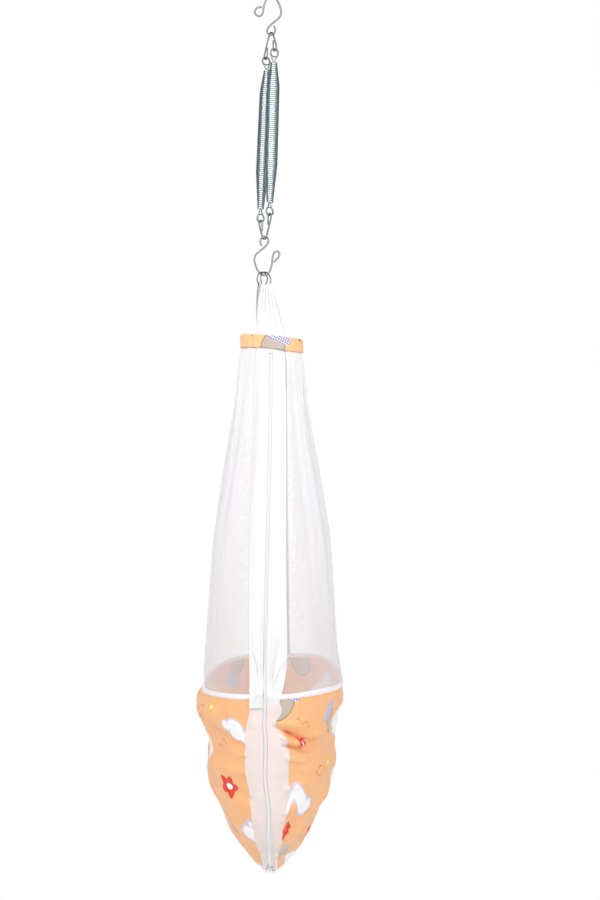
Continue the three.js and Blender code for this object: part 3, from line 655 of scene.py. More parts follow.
def cone_tip(end, side):
    """Where the wire stops at a spring's upper end, 0, or its lower end, 1."""
    point = (hooks["left"][end] + hooks["right"][end]) / 2 \
        + SIDES[side] * heading(PAIR_YAWS[end]) * SPRING_SPACING / 2
    point[2] = hooks[side][end][2] + FLIPPED[end] * (EYE_SEAT - EYE_RADIUS - EYE_NECK)
    return point


def coil_path(top, bottom):
    share = np.linspace(0, 1, TURNS * 20 + 1)
    depth = share * SPRING_LENGTH
    height = SPRING_LENGTH - depth
    cone = np.minimum(np.minimum(depth / UPPER_CONE, height / LOWER_CONE), 1)
    radius = (TIP_WIDTH + (SPRING_WIDTH - TIP_WIDTH) * cone - SPRING_WIRE) / 2
    angle = 2 * math.pi * TURNS * share
    return top + np.outer(share, bottom - top) + np.stack(
        [radius * np.cos(angle), radius * np.sin(angle), 0 * angle], 1)


print("springs' upper ends, mm:", [cone_tip(0, side).round(1).tolist() for side in SIDES])

# %% Eyes: a full ring of wire whose ends run down into the cone and splay
EYE_YAW, FOOT_DEPTH, FOOT_SPREAD = math.radians(30), 14.0, 3.2


def eye_path(seat, cone, inwards):
    up = seat - cone
    lean = math.acos(EYE_RADIUS / (np.linalg.norm(up) - EYE_RADIUS))
    up = unit(up)
    across = heading(EYE_YAW)
    across = unit(across - up * across.dot(up))
    arc = 4 * math.pi - 2 * lean
    share = np.linspace(0, 1, 60)
    angle = lean - math.pi / 2 + arc * share
    pitch = (EYE_WIRE + FIT) / (2 * math.pi)
    ring = seat - up * EYE_RADIUS + EYE_RADIUS * (
        np.outer(np.cos(angle), across) + np.outer(np.sin(angle), up)) \
        + np.outer((share - 0.5) * arc * pitch, np.cross(up, across))
    ends = [(cone + inwards * FOOT_DEPTH + across * side * FOOT_SPREAD,
             cone + across * side * (EYE_WIRE + FIT) / 2) for side in (1, -1)]
    return np.vstack([ends[0], ring, ends[1][::-1]])


for side in SIDES:
    tips = [cone_tip(end, side) for end in (0, 1)]
    inwards = unit(tips[1] - tips[0])
    coil = wire_piece(f"{side}_spring", coil_path(*tips), SPRING_WIRE, plated_spring,
                      None, sides=9)
    stands_for(coil, f"{side}_spring_coil")
    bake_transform(coil)
    for end, place, body in ((0, "top", "spring"), (1, "bottom", "lower_eye")):
        seat = hooks[side][end] + UP * EYE_SEAT * FLIPPED[end]
        path = smooth_path(eye_path(seat, tips[end], inwards * FLIPPED[end]), 150)
        # The eyes take the steel painted darker than the coil's, as painted shade
        eye = wire_piece(f"{side}_{place}_eye", path, EYE_WIRE, plated_eye_painted_shade,
                         f"{side}_{body}")
        stands_for(eye, f"{side}_spring_{place}_eye")
print("springs:", TURNS, "turns of", SPRING_WIRE, "mm wire")

# %% [markdown]
# ## Rings
#
# Two welded rings of 3 mm wire hang side by side on the lower bow, turned half away from
# the camera. The weight below draws their feet apart, so each leans a little.

# %% Rings
RING_WIRE, RING_RADIUS, RING_SPACING, RING_PLAY = 3.0, 15.0, 7.2, 3.2
RING_TILT, RING_YAW = math.radians(8), math.radians(45)
RING_SEAT = (HOOK_WIRE + RING_WIRE) / 2 + RING_PLAY
ENDS = {"near": -1, "far": 1}


def rotate(a, b, angle):
    c, s = math.cos(angle), math.sin(angle)
    return a * c - b * s, a * s + b * c


def on_ring(points, end):
    """Turns points of a ring that stands in the XZ plane to their place on the bow."""
    x, y, z = np.asarray(points, float).T
    x, y = rotate(x, y, RING_YAW)
    side = ENDS[end]
    y, z = rotate(y, z + RING_SEAT - RING_RADIUS, side * RING_TILT)
    return np.stack([x, y, z], 1) + lower_bow - [side * RING_SPACING / 2, 0, 0]


for end in ENDS:
    angle = np.linspace(0, 2 * math.pi, 96, endpoint=False)
    flat_ring = RING_RADIUS * np.stack([np.cos(angle), 0 * angle, np.sin(angle)], 1)
    ring = wire_piece(f"{end}_ring_wire", on_ring(flat_ring, end), RING_WIRE,
                      galvanised_wire, "cradle", closed=True)
    stands_for(ring, f"{end}_ring")
print("rings:", 2 * RING_RADIUS + RING_WIRE, "mm across")

# %% [markdown]
# ## The cloth's shape
#
# The net and the bag follow one skin. A table gives its half width and half length at
# each depth, and a power that turns the round hoop into a long, round-cornered rim. A
# point on it is found by its depth under the band, its direction round the cradle and its
# distance out from the cloth. Every strip that is sewn on then follows the same skin.

# %% Skin
BAND_RADIUS, NET_HEIGHT, BAG_DEPTH, RIM_SAG = 68.0, 695.0, 398.0, 20.0
RIM_HALF_WIDTH, RIM_HALF_LENGTH, NET_CLOTH = 145.0, 325.0, 1.2
BAND_TOP, BAND_BOTTOM = (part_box("hoop_band")[k].z / MM for k in (1, 0))
NET_TOP = BAND_BOTTOM - 2 * FIT
NET_FLARE = (
    (0, 0), (0.07, 0.06), (0.16, 0.14), (0.25, 0.26), (0.38, 0.46),
    (0.56, 0.71), (0.69, 0.8), (0.81, 0.875), (0.93, 0.95), (1, 1))
BAG_WIDTHS = (
    (0, 1), (0.08, 1.03), (0.13, 1.02), (0.2, 0.965), (0.26, 0.91), (0.32, 0.885),
    (0.36, 0.897), (0.42, 0.915), (0.47, 0.905), (0.52, 0.885), (0.57, 0.835),
    (0.61, 0.77), (0.69, 0.67), (0.76, 0.6), (0.885, 0.395), (0.946, 0.285),
    (0.972, 0.21), (1, 0.06))
BAG_LENGTHS = (
    (0, 1), (0.1, 1), (0.2, 0.997), (0.3, 0.985), (0.4, 0.972), (0.5, 0.955),
    (0.6, 0.925), (0.7, 0.875), (0.76, 0.8134), (0.8, 0.7386), (0.84, 0.6638),
    (0.88, 0.5891), (0.92, 0.5144), (0.96, 0.4396), (0.98, 0.4022), (1, 0.3))
SECTION_POWERS = ((0, 2), (1, 2.6), (2, 2.2))


def follow(table, share):
    """A smooth curve through a table, for an array of shares."""
    x, y = np.array(table, float).T
    i = np.arange(len(x))
    before, after = np.maximum(i - 1, 0), np.minimum(i + 1, len(x) - 1)
    slope = (y[after] - y[before]) / (x[after] - x[before])
    i = np.clip(np.searchsorted(x, share, "right") - 1, 0, len(x) - 2)
    span = x[i + 1] - x[i]
    return hermite((share - x[i]) / span, y[i], span * slope[i],
                   y[i + 1], span * slope[i + 1])


def shares(depth):
    """How much of the net's and of the bag's height lies above a depth."""
    return (np.clip(depth / NET_HEIGHT, 0, 1),
            np.clip((depth - NET_HEIGHT) / BAG_DEPTH, 0, 1))


def skin_sizes(depth):
    """Half width, half length, power, height and sag of the sides at each depth."""
    net, bag = shares(depth)
    below = depth > NET_HEIGHT
    radius = BAND_RADIUS - NET_CLOTH
    width = np.where(below, RIM_HALF_WIDTH * follow(BAG_WIDTHS, bag),
                     radius + (RIM_HALF_WIDTH - radius) * follow(NET_FLARE, net))
    length = np.where(below, RIM_HALF_LENGTH * follow(BAG_LENGTHS, bag),
                      radius + (RIM_HALF_LENGTH - radius) * net)
    power = follow(SECTION_POWERS, net + bag)
    sag = RIM_SAG * np.where(below, 1 - bag, net) ** 2
    return width, length, power, NET_TOP - depth, sag


def bare_skin(depth, angle):
    """Points of the skin before its folds; the angle goes round from the right side."""
    width, length, power, z, sag = skin_sizes(depth)
    c, s = np.cos(angle), np.sin(angle)
    reach = (np.abs(c) ** power + np.abs(s) ** power) ** (-1 / power)
    low = sag * (1 - (s * reach) ** 2)
    return np.stack([width * c * reach, length * s * reach, z - low], -1)


def end_angle(depth, x, side):
    """The direction of a point at x on the near end, side -1, or the far end, side 1."""
    width, _, power = skin_sizes(depth)[:3]
    across = np.minimum(np.abs(x) / width, 1)
    away = (1 - across ** power) ** (1 / power)
    return np.arctan2(side * away, np.sign(x) * across)


print("half width and length at the rim, mm:",
      [float(size) for size in skin_sizes(np.array(NET_HEIGHT))[:2]])

# %% [markdown]
# Cloth that hangs is never an even surface. The net falls in soft upright folds, and the
# bag has a waist, creases that run from the zip, and small wrinkles everywhere. All of
# them are moves along the skin's normal, so the sewn strips ride over them too.

# %% Folds
NET_FOLDS = ((11, 5.0, 0.4), (17, 2.6, 2.1), (29, 0.8, 4.0))
# Each crease: start x, z, end x, z on the end of the bag, depth and half width in mm
NEAR_CREASES = (
    (12, -1503, 76, -1515, 6, 9), (14, -1511, 60, -1536, -8, 7),
    (40, -1524, 92, -1558, -8, 8), (26, -1532, 70, -1554, 5, 7),
    (30, -1550, 92, -1570, -9, 8), (36, -1573, 74, -1588, 5, 9),
    (84, -1538, 124, -1528, 5, 12), (60, -1600, 112, -1612, 4, 16),
    (-36, -1573, -66, -1588, -4, 7), (-38, -1556, -118, -1536, -5, 14),
    (-38, -1604, -118, -1604, 5, 18), (-30, -1660, -82, -1640, -4, 12),
    (30, -1640, 78, -1626, 4, 14), (-26, -1730, -64, -1704, -3, 10),
    (24, -1732, 60, -1700, -3, 10), (26, -1690, 62, -1668, 3, 9),
)
FAR_CREASES = (
    (-20, -1502, -96, -1540, 5, 12), (-24, -1514, -84, -1572, -8, 9),
    (-30, -1600, -96, -1584, 5, 11), (26, -1548, 104, -1530, -6, 13),
    (30, -1604, 110, -1610, 4, 15), (24, -1690, 70, -1664, -4, 11),
)
CREASED, WRINKLED = 1.6, 1.5  # times what the tables and the wrinkles' waves give
# The zip and the panels keep a width calm; the net sinks in, and its folds run aslant
CALM, NET_SINK, NET_SLANT = 34.0, 3.0, 2.2


def smooth_step(value, low, high):
    t = np.clip((value - low) / (high - low), 0, 1)
    return t * t * (3 - 2 * t)


def creases(point, table, side):
    """Ridges and valleys along lines on one end of the bag."""
    x, z = point[..., 0], point[..., 2]
    moved = 0 * x
    for x0, z0, x1, z1, height, width in table:
        dx, dz = x1 - x0, z1 - z0
        t = ((x - x0) * dx + (z - z0) * dz) / (dx * dx + dz * dz)
        off = ((x - x0) * dz - (z - z0) * dx) / math.hypot(dx, dz)
        spread = width * (0.35 + 0.65 * np.clip(t, 0, 1))
        taper = smooth_step(t, -0.05, 0.12) * (1 - smooth_step(t, 0.75, 1.15))
        moved = moved + height * taper * np.exp(-(off / spread) ** 2)
    return moved * smooth_step(side * point[..., 1], 40, 150)


def wrinkles(point):
    x, y, z = np.moveaxis(point, -1, 0)
    return (1.6 * np.sin(0.031 * y + 0.021 * z + 1.0) * np.sin(0.043 * z + 0.012 * x)
            + 1.1 * np.sin(0.067 * y - 0.05 * z + 0.3 * np.sin(0.05 * y))
            + 0.7 * np.sin(0.11 * x + 0.09 * z) * np.sin(0.083 * y + 2.0))


def gathers(bag, angle):
    """Small upright puckers under the binding, where the bag is eased into it."""
    ripple = np.sin(70 * angle + 1.5 * np.sin(9 * angle)) + 0.6 * np.sin(113 * angle)
    return ripple * np.exp(-14 * bag) * smooth_step(bag, 0, 0.02)


def folding(depth, angle, point):
    """How far the cloth stands off the bare skin, in millimetres."""
    net, bag = shares(depth)
    calm = 1 - np.exp(-(point[..., 0] / CALM) ** 2)
    swell = np.sin(math.pi * net ** 0.8) * (bag <= 0)
    upright = sum(size * np.sin(count * angle + start + NET_SLANT * net)
                  for count, size, start in NET_FOLDS)
    bagging = smooth_step(bag, 0, 0.07) * (1 - smooth_step(bag, 0.9, 1.0))
    lumps = WRINKLED * wrinkles(point) + CREASED * (
        creases(point, NEAR_CREASES, -1) + creases(point, FAR_CREASES, 1))
    return calm * (swell * (upright - NET_SINK) + bagging * lumps + gathers(bag, angle))


print("creases:", len(NEAR_CREASES), "near and", len(FAR_CREASES), "far")

# %% [markdown]
# The whole cradle also hangs a little unevenly, as the picture shows: the hoop dips to
# the right, the zip is drawn a little to the left at the rim and runs in a shallow wave,
# the rim hangs higher on the right, and below it the bag's sides lean out and in.

# %% Settle and skin
HOOP_TILT, ZIP_DRAWN, ZIP_WAVE, SIDE_LEAN = math.tan(math.radians(5)), 7.5, 1.6, 4.5
# Where each move fades in or out: from the middle or below the band in mm, or by the
# share of the bag's depth
NEAR_END, TILT_FADE, TILT_TOP = (60, 240), (40, 420), 80
DRAWN_WIDTH, DRAWN_FADE = 75, (0.2, 0.75)
WAVE_LENGTH, WAVE_START, WAVE_STOP = 21, (0.05, 0.2), (0.6, 0.78)
# How the bag's sides lean to the right: which side, in shares of the lean, how far below
# the rim's middle in mm, and over what height
LEAN_START = (50, 140)
SIDE_LEANS = ((1, 1.0, 6, 42), (1, -1.6, 76, 18), (1, 1.2, 142, 30),
              (-1, 1.0, 12, 18), (-1, -1.6, 50, 20))
# How much higher the rim hangs on each side, from what distance, and over what height
RIM_RISE, RISE_HEIGHT = ((-1, 4.0, 50), (1, 13.0, 30)), 70
STEP, TURN_STEP, TUCK = 0.4, 0.001, 2.2


def settle(point):
    x, y, z = np.moveaxis(point, -1, 0)
    depth = NET_TOP - z
    below = depth - NET_HEIGHT
    bag = below / BAG_DEPTH
    near = smooth_step(-y, *NEAR_END)
    drawn = ZIP_DRAWN * near * np.exp(-(x / DRAWN_WIDTH) ** 2) \
        * smooth_step(depth, 0, NET_HEIGHT) * (1 - smooth_step(bag, *DRAWN_FADE))
    wave = ZIP_WAVE * near * np.sin(z / WAVE_LENGTH) \
        * smooth_step(bag, *WAVE_START) * (1 - smooth_step(bag, *WAVE_STOP))
    lean = SIDE_LEAN * sum(much * smooth_step(sign * x, *LEAN_START)
                           * np.exp(-((below - middle) / spread) ** 2)
                           for sign, much, middle, spread in SIDE_LEANS)
    dip = HOOP_TILT * x * (1 - smooth_step(depth, *TILT_FADE)) \
        * (1 - smooth_step(z, BAND_TOP, BAND_TOP + TILT_TOP))
    rise = np.exp(-(below / RISE_HEIGHT) ** 2) * sum(
        much * smooth_step(sign * x, start, RIM_HALF_WIDTH)
        for sign, much, start in RIM_RISE)
    return np.stack([x - drawn + wave + lean, y, z - dip + rise], -1)


def tucked(depth, out):
    """Out from the skin, but between the band's two layers where it is sewn in."""
    return out - (out + TUCK) * (1 - smooth_step(depth, 1, 16))


def skin(depth, angle, out):
    """Points of the cloth, in millimetres, moved out from the bag's inner face."""
    depth, angle = np.broadcast_arrays(np.asarray(depth, float), np.asarray(angle, float))
    down_way = bare_skin(depth + STEP, angle) - bare_skin(depth - STEP, angle)
    round_way = bare_skin(depth, angle + TURN_STEP) - bare_skin(depth, angle - TURN_STEP)
    point = bare_skin(depth, angle)
    away = out + folding(depth, angle, point)
    return settle(point + unit(np.cross(down_way, round_way)) * away[..., None])


def half_skin(side, near_x, far_x, depths, columns, out):
    """One half of the cloth, from the near end round to the far end."""
    depth = depths[:, None]
    start, stop = end_angle(depth, near_x, -1), end_angle(depth, far_x, 1)
    angle = start + (stop - start) * np.linspace(0, 1, columns)
    return skin(depth, math.pi - angle if side == "left" else angle, out)


def strip_skin(end, inner, outer, depths, columns, out):
    """A strip on one end, between two distances from the middle at each depth."""
    depth = depths[:, None]
    x = inner + (outer - inner) * np.linspace(0, 1, columns)
    return skin(depth, end_angle(depth, x, end), out)


def middle_line(depths, end, out):
    """The middle of the near end, -1, or of the far end, 1."""
    return skin(depths, np.full_like(depths, end * math.pi / 2), out)


print("rim at", round(NET_TOP - NET_HEIGHT, 1), "mm")

# %% [markdown]
# ## Stitches
#
# A seam reads as sewn when its stitches show. Each one is a small lens of thread that
# sits half sunk in the cloth. They are all copies of one shape, laid along a line.

# %% Stitches
STITCH, STITCH_PITCH, THREAD = 2.6, 4.0, 0.55
THREAD_WAY = (0.31, 0.52, 0.79)  # along no seam, so a stitch's width can start from it
# A lens, by shares of the stitch's length and thickness
LENS, LENS_SIDES = ((-0.5, 0.05), (-0.25, 0.8), (0.25, 0.8), (0.5, 0.05)), 6


def places_along(path, pitch, margin):
    """Points at an even pitch along a path, and the way it runs there."""
    run = run_lengths(path)
    where = np.arange(margin, run[-1] - margin, pitch)
    point, before, after = [sample(path, run, where + step) for step in (0, -0.5, 0.5)]
    return point, unit(after - before), where / run[-1]


def turned(profile, sides, length, width, height):
    """A lathe's shape along X, from shares of its length and of its two radii."""
    angles = np.linspace(0, 2 * math.pi, sides, endpoint=False)
    return np.array([(a * length, r * width * math.cos(t), r * height * math.sin(t))
                     for a, r in profile for t in angles])


def copies(shape, centres, axes):
    """The shape's points set along three axes at each centre."""
    return centres[:, None, :] + sum(shape[None, :, k, None] * axis[:, None, :]
                                     for k, axis in enumerate(axes))


def stitches(name, path):
    centre, way, _ = places_along(path, STITCH_PITCH, STITCH_PITCH / 2)
    side = unit(np.cross(way, THREAD_WAY))
    shape = turned(LENS, LENS_SIDES, STITCH, THREAD / 2, THREAD / 2)
    points = copies(shape, centre, (way, side, np.cross(way, side))).reshape(-1, 3) * MM
    first = np.arange(len(centre)) * len(shape)
    faces = grid_faces(len(LENS), LENS_SIDES, True)[None] + first[:, None, None]
    piece = mesh_piece(name, points, faces.reshape(-1, 4), points[:, :2], sewing_thread)
    return piece


print("one stitch:", len(LENS) * LENS_SIDES, "points,", STITCH, "mm long")

# %% [markdown]
# ## Bag
#
# The bag is two shaped panels of printed cotton, joined by the zip at the near end and
# by a seam along the keel and up the far end. The grid is fine enough for its creases,
# and the last rows close the slit along the keel.

# %% Bag
BAG_EDGE = 4.0
CHAIN_END = NET_HEIGHT + 0.95 * BAG_DEPTH
TAPE_END = CHAIN_END + 4.0
BAG_PRINT = {"left": (0.115, 0.0), "right": (0.212, 0.13)}  # its origin, in metres
BAG_CLOSING, BAG_LIP = (0.35, 0.7, 1.0), 1.6  # shares of the slit, and how far it dips
bag_depths = NET_HEIGHT + FIT + (BAG_DEPTH - FIT) * (
    1 - (1 - np.linspace(0, 1, 150)) ** 1.35)


def bag_half(side):
    near = np.where(bag_depths[:, None] < TAPE_END, BAG_EDGE, FIT / 2)
    points = half_skin(side, near, FIT / 2, bag_depths, 241, 0.8)
    closing = []
    for share in BAG_CLOSING:
        row = points[-1].copy()
        row[:, 0] += (SIDES[side] * FIT / 2 - row[:, 0]) * share
        row[:, 2] -= BAG_LIP * math.sin(share * math.pi / 2)
        closing.append(row)
    points = np.concatenate([points, closing])
    piece = cloth_piece(f"bag_panel_{side}", points, printed_cotton, 0.5,
                        BAG_PRINT[side], mirror=side == "left")
    stands_for(piece, f"bag_{side}")
    area = flat_area(points)
    return area


print("bag panels, square metres:", [round(bag_half(side), 3) for side in SIDES])

# %% [markdown]
# ## Hanging panels
#
# White cotton straps carry the weight from the rings to the rim. At the near end there
# are two, one on each side of the zip. The left one laps over the rim's binding. The
# right one is drawn together at the rim and runs in under it. At the far end there is
# one, twice as wide. Each is hemmed, so its edges are thicker and stitched.

# %% Panels
GATE_CLOSED = 3.0
BAG_CLOTH, TAPE_CLOTH, TAPE_REACH = 1.6, 0.7, 14.0
TAPE_OUT = BAG_CLOTH + 2 * FIT
CHAIN_OUT = TAPE_OUT + TAPE_CLOTH + FIT
OVER_BINDING, UNDER_BINDING = 4.8, 2.9
SEWN_IN, PANEL_OVERHANG = 6.0, 24.0
# The panels' edges, in mm from the zip, by their share of the net's height
GATE = ((0, GATE_CLOSED), (1, GATE_CLOSED))
LEFT_EDGE = ((0, 33), (0.38, 38.8), (0.7, 36), (0.9, 32.5), (0.97, 31), (1.08, 30.5))
RIGHT_EDGE = ((0, 29), (0.38, 33.9), (0.7, 38), (0.88, 41), (0.95, 38), (0.985, 33),
              (1.02, 27), (1.08, 24))
FAR_EDGE = ((0, 31), (1.1, 38))
# A soft diagonal fold in the left panel, and the gathers of the right one at the rim
PANEL_FOLDS = {
    "left": ((-30, -1380, -8, -1444, -5.5, 5), (-14, -1300, -9, -1420, 3.5, 5),
             (-24, -1452, -4, -1446, 3.5, 4)),
    "right": ((0, -1446, 24, -1350, -6, 5), (2, -1452, 36, -1385, -4.5, 6),
              (2, -1450, 10, -1330, 4.5, 4)),
    "far": ((-6, -1450, -24, -1380, -3, 6), (8, -1455, 26, -1372, -3, 7)),
}
# Name, end, inner and outer edge with their sides, how much shorter than the overhang,
# height over the bag at the rim, folds, and where the ripples start
PANELS = (
    ("near_panel_cloth_left", -1, (-1, GATE), (-1, LEFT_EDGE), 2, OVER_BINDING,
     "left", 0.6),
    ("near_panel_cloth_right", -1, (1, GATE), (1, RIGHT_EDGE), 6, UNDER_BINDING,
     "right", 2.2),
    ("far_panel_cloth", 1, (-1, FAR_EDGE), (1, FAR_EDGE), 2, OVER_BINDING,
     "far", 1.4),
)
COARSE_TO, FINE_FROM = 560, 566  # the rows lie closer near the rim
# A hem, in mm and from what share of the width, how far out its seam lies, and how far
# down an edge lies beside the zip
HEM, HEM_FROM, SEAM_OUT, BESIDE = 0.5, 0.38, 0.35, 1.9


def panel_out(depth, low, u):
    """Sewn into the band, over the zip tape inside, down on the net at the edge."""
    near_rim = smooth_step(depth, NET_HEIGHT - 40, NET_HEIGHT - 6)
    beside = BESIDE * smooth_step(u, 0.45, 0.95) * (1 - near_rim)
    over_zip = CHAIN_OUT + 0.2
    return tucked(depth, over_zip + (low - over_zip) * near_rim - beside)


def panel(name, end, inner, outer, short, low, folds, seed):
    depths = np.concatenate([
        np.linspace(-SEWN_IN, COARSE_TO, 60),
        np.linspace(FINE_FROM, NET_HEIGHT + PANEL_OVERHANG - short, 70)])
    depth, u = depths[:, None], np.linspace(0, 1, 25)
    inner, outer = (side * follow(edge, depth / NET_HEIGHT)
                    for side, edge in (inner, outer))
    outwards = u if end < 0 else np.abs(2 * u - 1)
    points = strip_skin(end, inner, outer, depths, 25, panel_out(depth, low, outwards))
    loose = smooth_step(depth, 540, NET_HEIGHT)
    waves_across = np.sin(2 * math.pi * (1.5 + loose) * u + seed)
    ripple = (0.9 + 1.2 * loose) * (1 + waves_across) / 2
    hem = HEM * (np.abs(u - 0.5) > HEM_FROM)
    points[..., 1] += end * smooth_step(depth, 4, 40) * (
        ripple * np.sin(math.pi * np.clip(u, 0.02, 0.98)) ** 0.5
        + creases(points, PANEL_FOLDS[folds], end) + hem)
    piece = stands_for(cloth_piece(name, points, white_cotton, 0.6),
                       name.replace("_cloth", ""))
    width, length = cloth_length(points[60]), cloth_length(points[:, 12])
    seams = [stitches(f"{name}_{edge}_stitches",
                      points[2:-2, column] + [0, end * SEAM_OUT, 0])
             for edge, column in (("inner", 2), ("outer", 22))]
    print(name, round(width, 3), "by", round(length, 3), "m")


for made in PANELS:
    panel(*made)

# %% [markdown]
# ## Net
#
# Each half of the mosquito net is a trapezium, gathered into the band and sewn into the
# rim's binding. Its upright folds are deepest at half height, and its ends lap under the
# hanging panels.

# %% Net
NET_LAP, NET_EASE = 6.0, 0.98
NEAR_EDGES = {"left": LEFT_EDGE, "right": RIGHT_EDGE}


def net_half(side):
    depths = np.linspace(-SEWN_IN, NET_HEIGHT, 92)
    near, far = (follow(table, depths[:, None] / NET_HEIGHT) - NET_LAP
                 for table in (NEAR_EDGES[side], FAR_EDGE))
    points = half_skin(side, near, far, depths, 261, tucked(depths[:, None], 0.6))
    piece = stands_for(cloth_piece(f"net_panel_{side}", points, mosquito_net, 0.2),
                       f"net_{side}")
    area = flat_area(points)
    return area


print("net halves, square metres:", [round(net_half(side), 3) for side in SIDES])

# %% [markdown]
# ## Rim binding
#
# Bias tape is folded over the joined edges of net and bag and sewn through. Its section
# is a flat loop, fuller outside, and it puckers slightly at each stitch.

# %% Rim binding
BIND_HEIGHT, BIND_OUT, BIND_IN, BIND_ROWS = 10.5, 3.4, 1.8, 720
BIND_GIRTH, BIND_MIDDLE = 3, 0.8  # mm of tape to a radian, and how far out its middle is
BIND_START = TAPE_REACH + 2 * FIT  # from the zip
PUCKER, PUCKER_TURN = 0.05, 1.9  # a share of the tape, and radians from row to row


def rim_binding():
    section = np.linspace(0, 2 * math.pi, 14, endpoint=False)
    start = end_angle(np.array(NET_HEIGHT), BIND_START, -1)
    angle = np.linspace(start, math.pi - start, BIND_ROWS)
    rim = bare_skin(np.full(BIND_ROWS, NET_HEIGHT), angle)
    away = unit(np.cross(np.gradient(rim, axis=0), UP))
    swell = (1 + PUCKER * np.sin(np.arange(BIND_ROWS) * PUCKER_TURN))[:, None]
    high, out = np.cos(section), np.sin(section)
    high = BIND_HEIGHT / 2 * np.sign(high) * np.abs(high) ** 0.7
    out = np.where(out > 0, BIND_OUT, BIND_IN) * out
    rows = rim[:, None, :] + (BIND_MIDDLE + out * swell)[..., None] * away[:, None, :]
    rows[..., 2] += high * swell
    rows = settle(rows)
    middle = rows.mean(1)
    stands_for(tube_piece("rim_binding_tape", rows, section * BIND_GIRTH, bias_tape),
               "rim_binding")
    for place, corner in (("upper", 2), ("lower", 5)):
        seam = rows[:, corner]
        stitches(f"rim_stitches_{place}", seam + (seam - middle) * 0.02)
    return cloth_length(middle)


print("rim binding, metres:", round(rim_binding(), 3))

# %% [markdown]
# ## Plackets
#
# Strips of lawn lie on both sides of the zip over the bag and narrow at the low end.
# They hide the raw edges of the print. The right one puffs out under the rim, is pinched
# where the bag's deepest crease starts, and widens again below. At the low end they stand
# apart, so that the slider can run between them.

# %% Plackets
SLIDER_GATE, GATE_OPENS = 5.3, (250, 278)  # and its depth below the rim
PUFF, PUFF_AT, PUFF_HEIGHT = 3.4, 24, 13
# Widths in mm from the zip, by depth below the rim
PLACKETS = {
    "left": ((14, 29), (30, 30), (50, 36), (85, 42), (125, 41), (170, 37), (215, 35),
             (260, 32), (300, 26), (340, 18), (380, 14)),
    "right": ((10, 27), (22, 32), (34, 31), (48, 21), (58, 23), (75, 36), (95, 42),
              (140, 43), (180, 45), (196, 44), (214, 36), (250, 30), (300, 24),
              (340, 17), (380, 14)),
}


def placket(side):
    sign, table = SIDES[side], PLACKETS[side]
    below = np.linspace(table[0][0], CHAIN_END - NET_HEIGHT, 150)[:, None]
    u = np.linspace(0, 1, 21)
    inner = GATE_CLOSED + (SLIDER_GATE - GATE_CLOSED) * smooth_step(below, *GATE_OPENS)
    outer = follow(table, below) + 0.4 * np.sin(0.13 * below + sign)
    puff = PUFF * np.exp(-((below - PUFF_AT) / PUFF_HEIGHT) ** 2) * (side == "right")
    creased = 0.7 * np.sin(0.19 * below + 2.5 * u) * np.sin(0.067 * below + 1.0)
    out = CHAIN_OUT + FIT - BESIDE * smooth_step(u, 0.35, 0.9) \
        + (puff + creased) * np.sin(math.pi * u) ** 0.7
    points = strip_skin(-1, sign * inner, sign * outer, NET_HEIGHT + below[:, 0], 21, out)
    piece = stands_for(cloth_piece(f"placket_cloth_{side}", points, cotton_lawn, 0.4),
                       f"placket_{side}")
    made = [stitches(f"placket_stitches_{edge}_{side}",
                     points[2:-2, column] + [0, -0.25, 0])
            for edge, column in (("outer", 19), ("inner", 2))]
    area = round(flat_area(points), 4)
    return area


print("plackets, square metres:", [placket(side) for side in SIDES])

# %% [markdown]
# ## Zip
#
# A nylon coil zip: two woven tapes, each with a row of coil elements at 1.5 mm, that
# the slider has meshed. The elements are small rounded blocks, set in two rows that
# interleave.

# %% Tapes
def tape(side):
    depths = np.linspace(-SEWN_IN, TAPE_END, 260)
    points = strip_skin(-1, SIDES[side] * FIT / 2, SIDES[side] * TAPE_REACH, depths, 7,
                        tucked(depths, TAPE_OUT + 0.35)[:, None])
    piece = stands_for(cloth_piece(f"zip_tape_cloth_{side}", points, zip_tape_weave, 0.5),
                       f"zip_tape_{side}")
    length = round(cloth_length(points[:, 3]), 3)
    return length


print("zip tapes, metres:", [tape(side) for side in SIDES])

# %% Coil elements
ELEMENT_PITCH, CHAIN_TOP = 1.5, 0.012 * NET_HEIGHT
ELEMENT_SIZE, ELEMENT_LAP, ELEMENT_SIDES = (3.2, 0.74, 1.15), 0.3, 8
ELEMENT_OUT, FIRST_ELEMENT = 1.3, 0.8
ELEMENT = ((0.0, 0.75), (0.2, 1.0), (0.75, 1.0), (1.0, 0.55))


def zip_chain():
    fine = np.linspace(CHAIN_TOP + 4, CHAIN_END, 1500)
    line_points, outer = (middle_line(fine, -1, CHAIN_OUT + ELEMENT_OUT + more)
                          for more in (0, 1))
    shape = turned(ELEMENT, ELEMENT_SIDES, *ELEMENT_SIZE) - [ELEMENT_LAP, 0, 0]
    one = grid_faces(len(ELEMENT), ELEMENT_SIDES, True).tolist() \
        + end_faces(len(ELEMENT), ELEMENT_SIDES)
    points, faces = [], []
    for row, sign in enumerate((-1, 1)):
        centre, way, share = places_along(line_points, ELEMENT_PITCH,
                                          FIRST_ELEMENT + row * ELEMENT_PITCH / 2)
        up = unit(sample(outer - line_points, np.linspace(0, 1, len(fine)), share))
        side = np.tile([sign, 0.0, 0.0], (len(centre), 1))
        for block in copies(shape, centre, (side, way, up)):
            base = len(points) * len(shape)
            points.append(block)
            faces += [[v + base for v in f[::sign]] for f in one]
    count, points = len(points), np.concatenate(points) * MM
    piece = mesh_piece("zip_coil", points, faces, points[:, [0, 2]], nylon_coil)
    stands_for(piece, "zip_chain")
    return count


print("zip coil:", zip_chain(), "elements")

# %% [markdown]
# The slider, the puller and the stops are cast in zinc. A cast edge is never sharp: the
# molten metal leaves it with a radius of about 0.4 mm, which catches the light. Each is
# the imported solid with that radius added, and the puller gets ribs for the fingers.

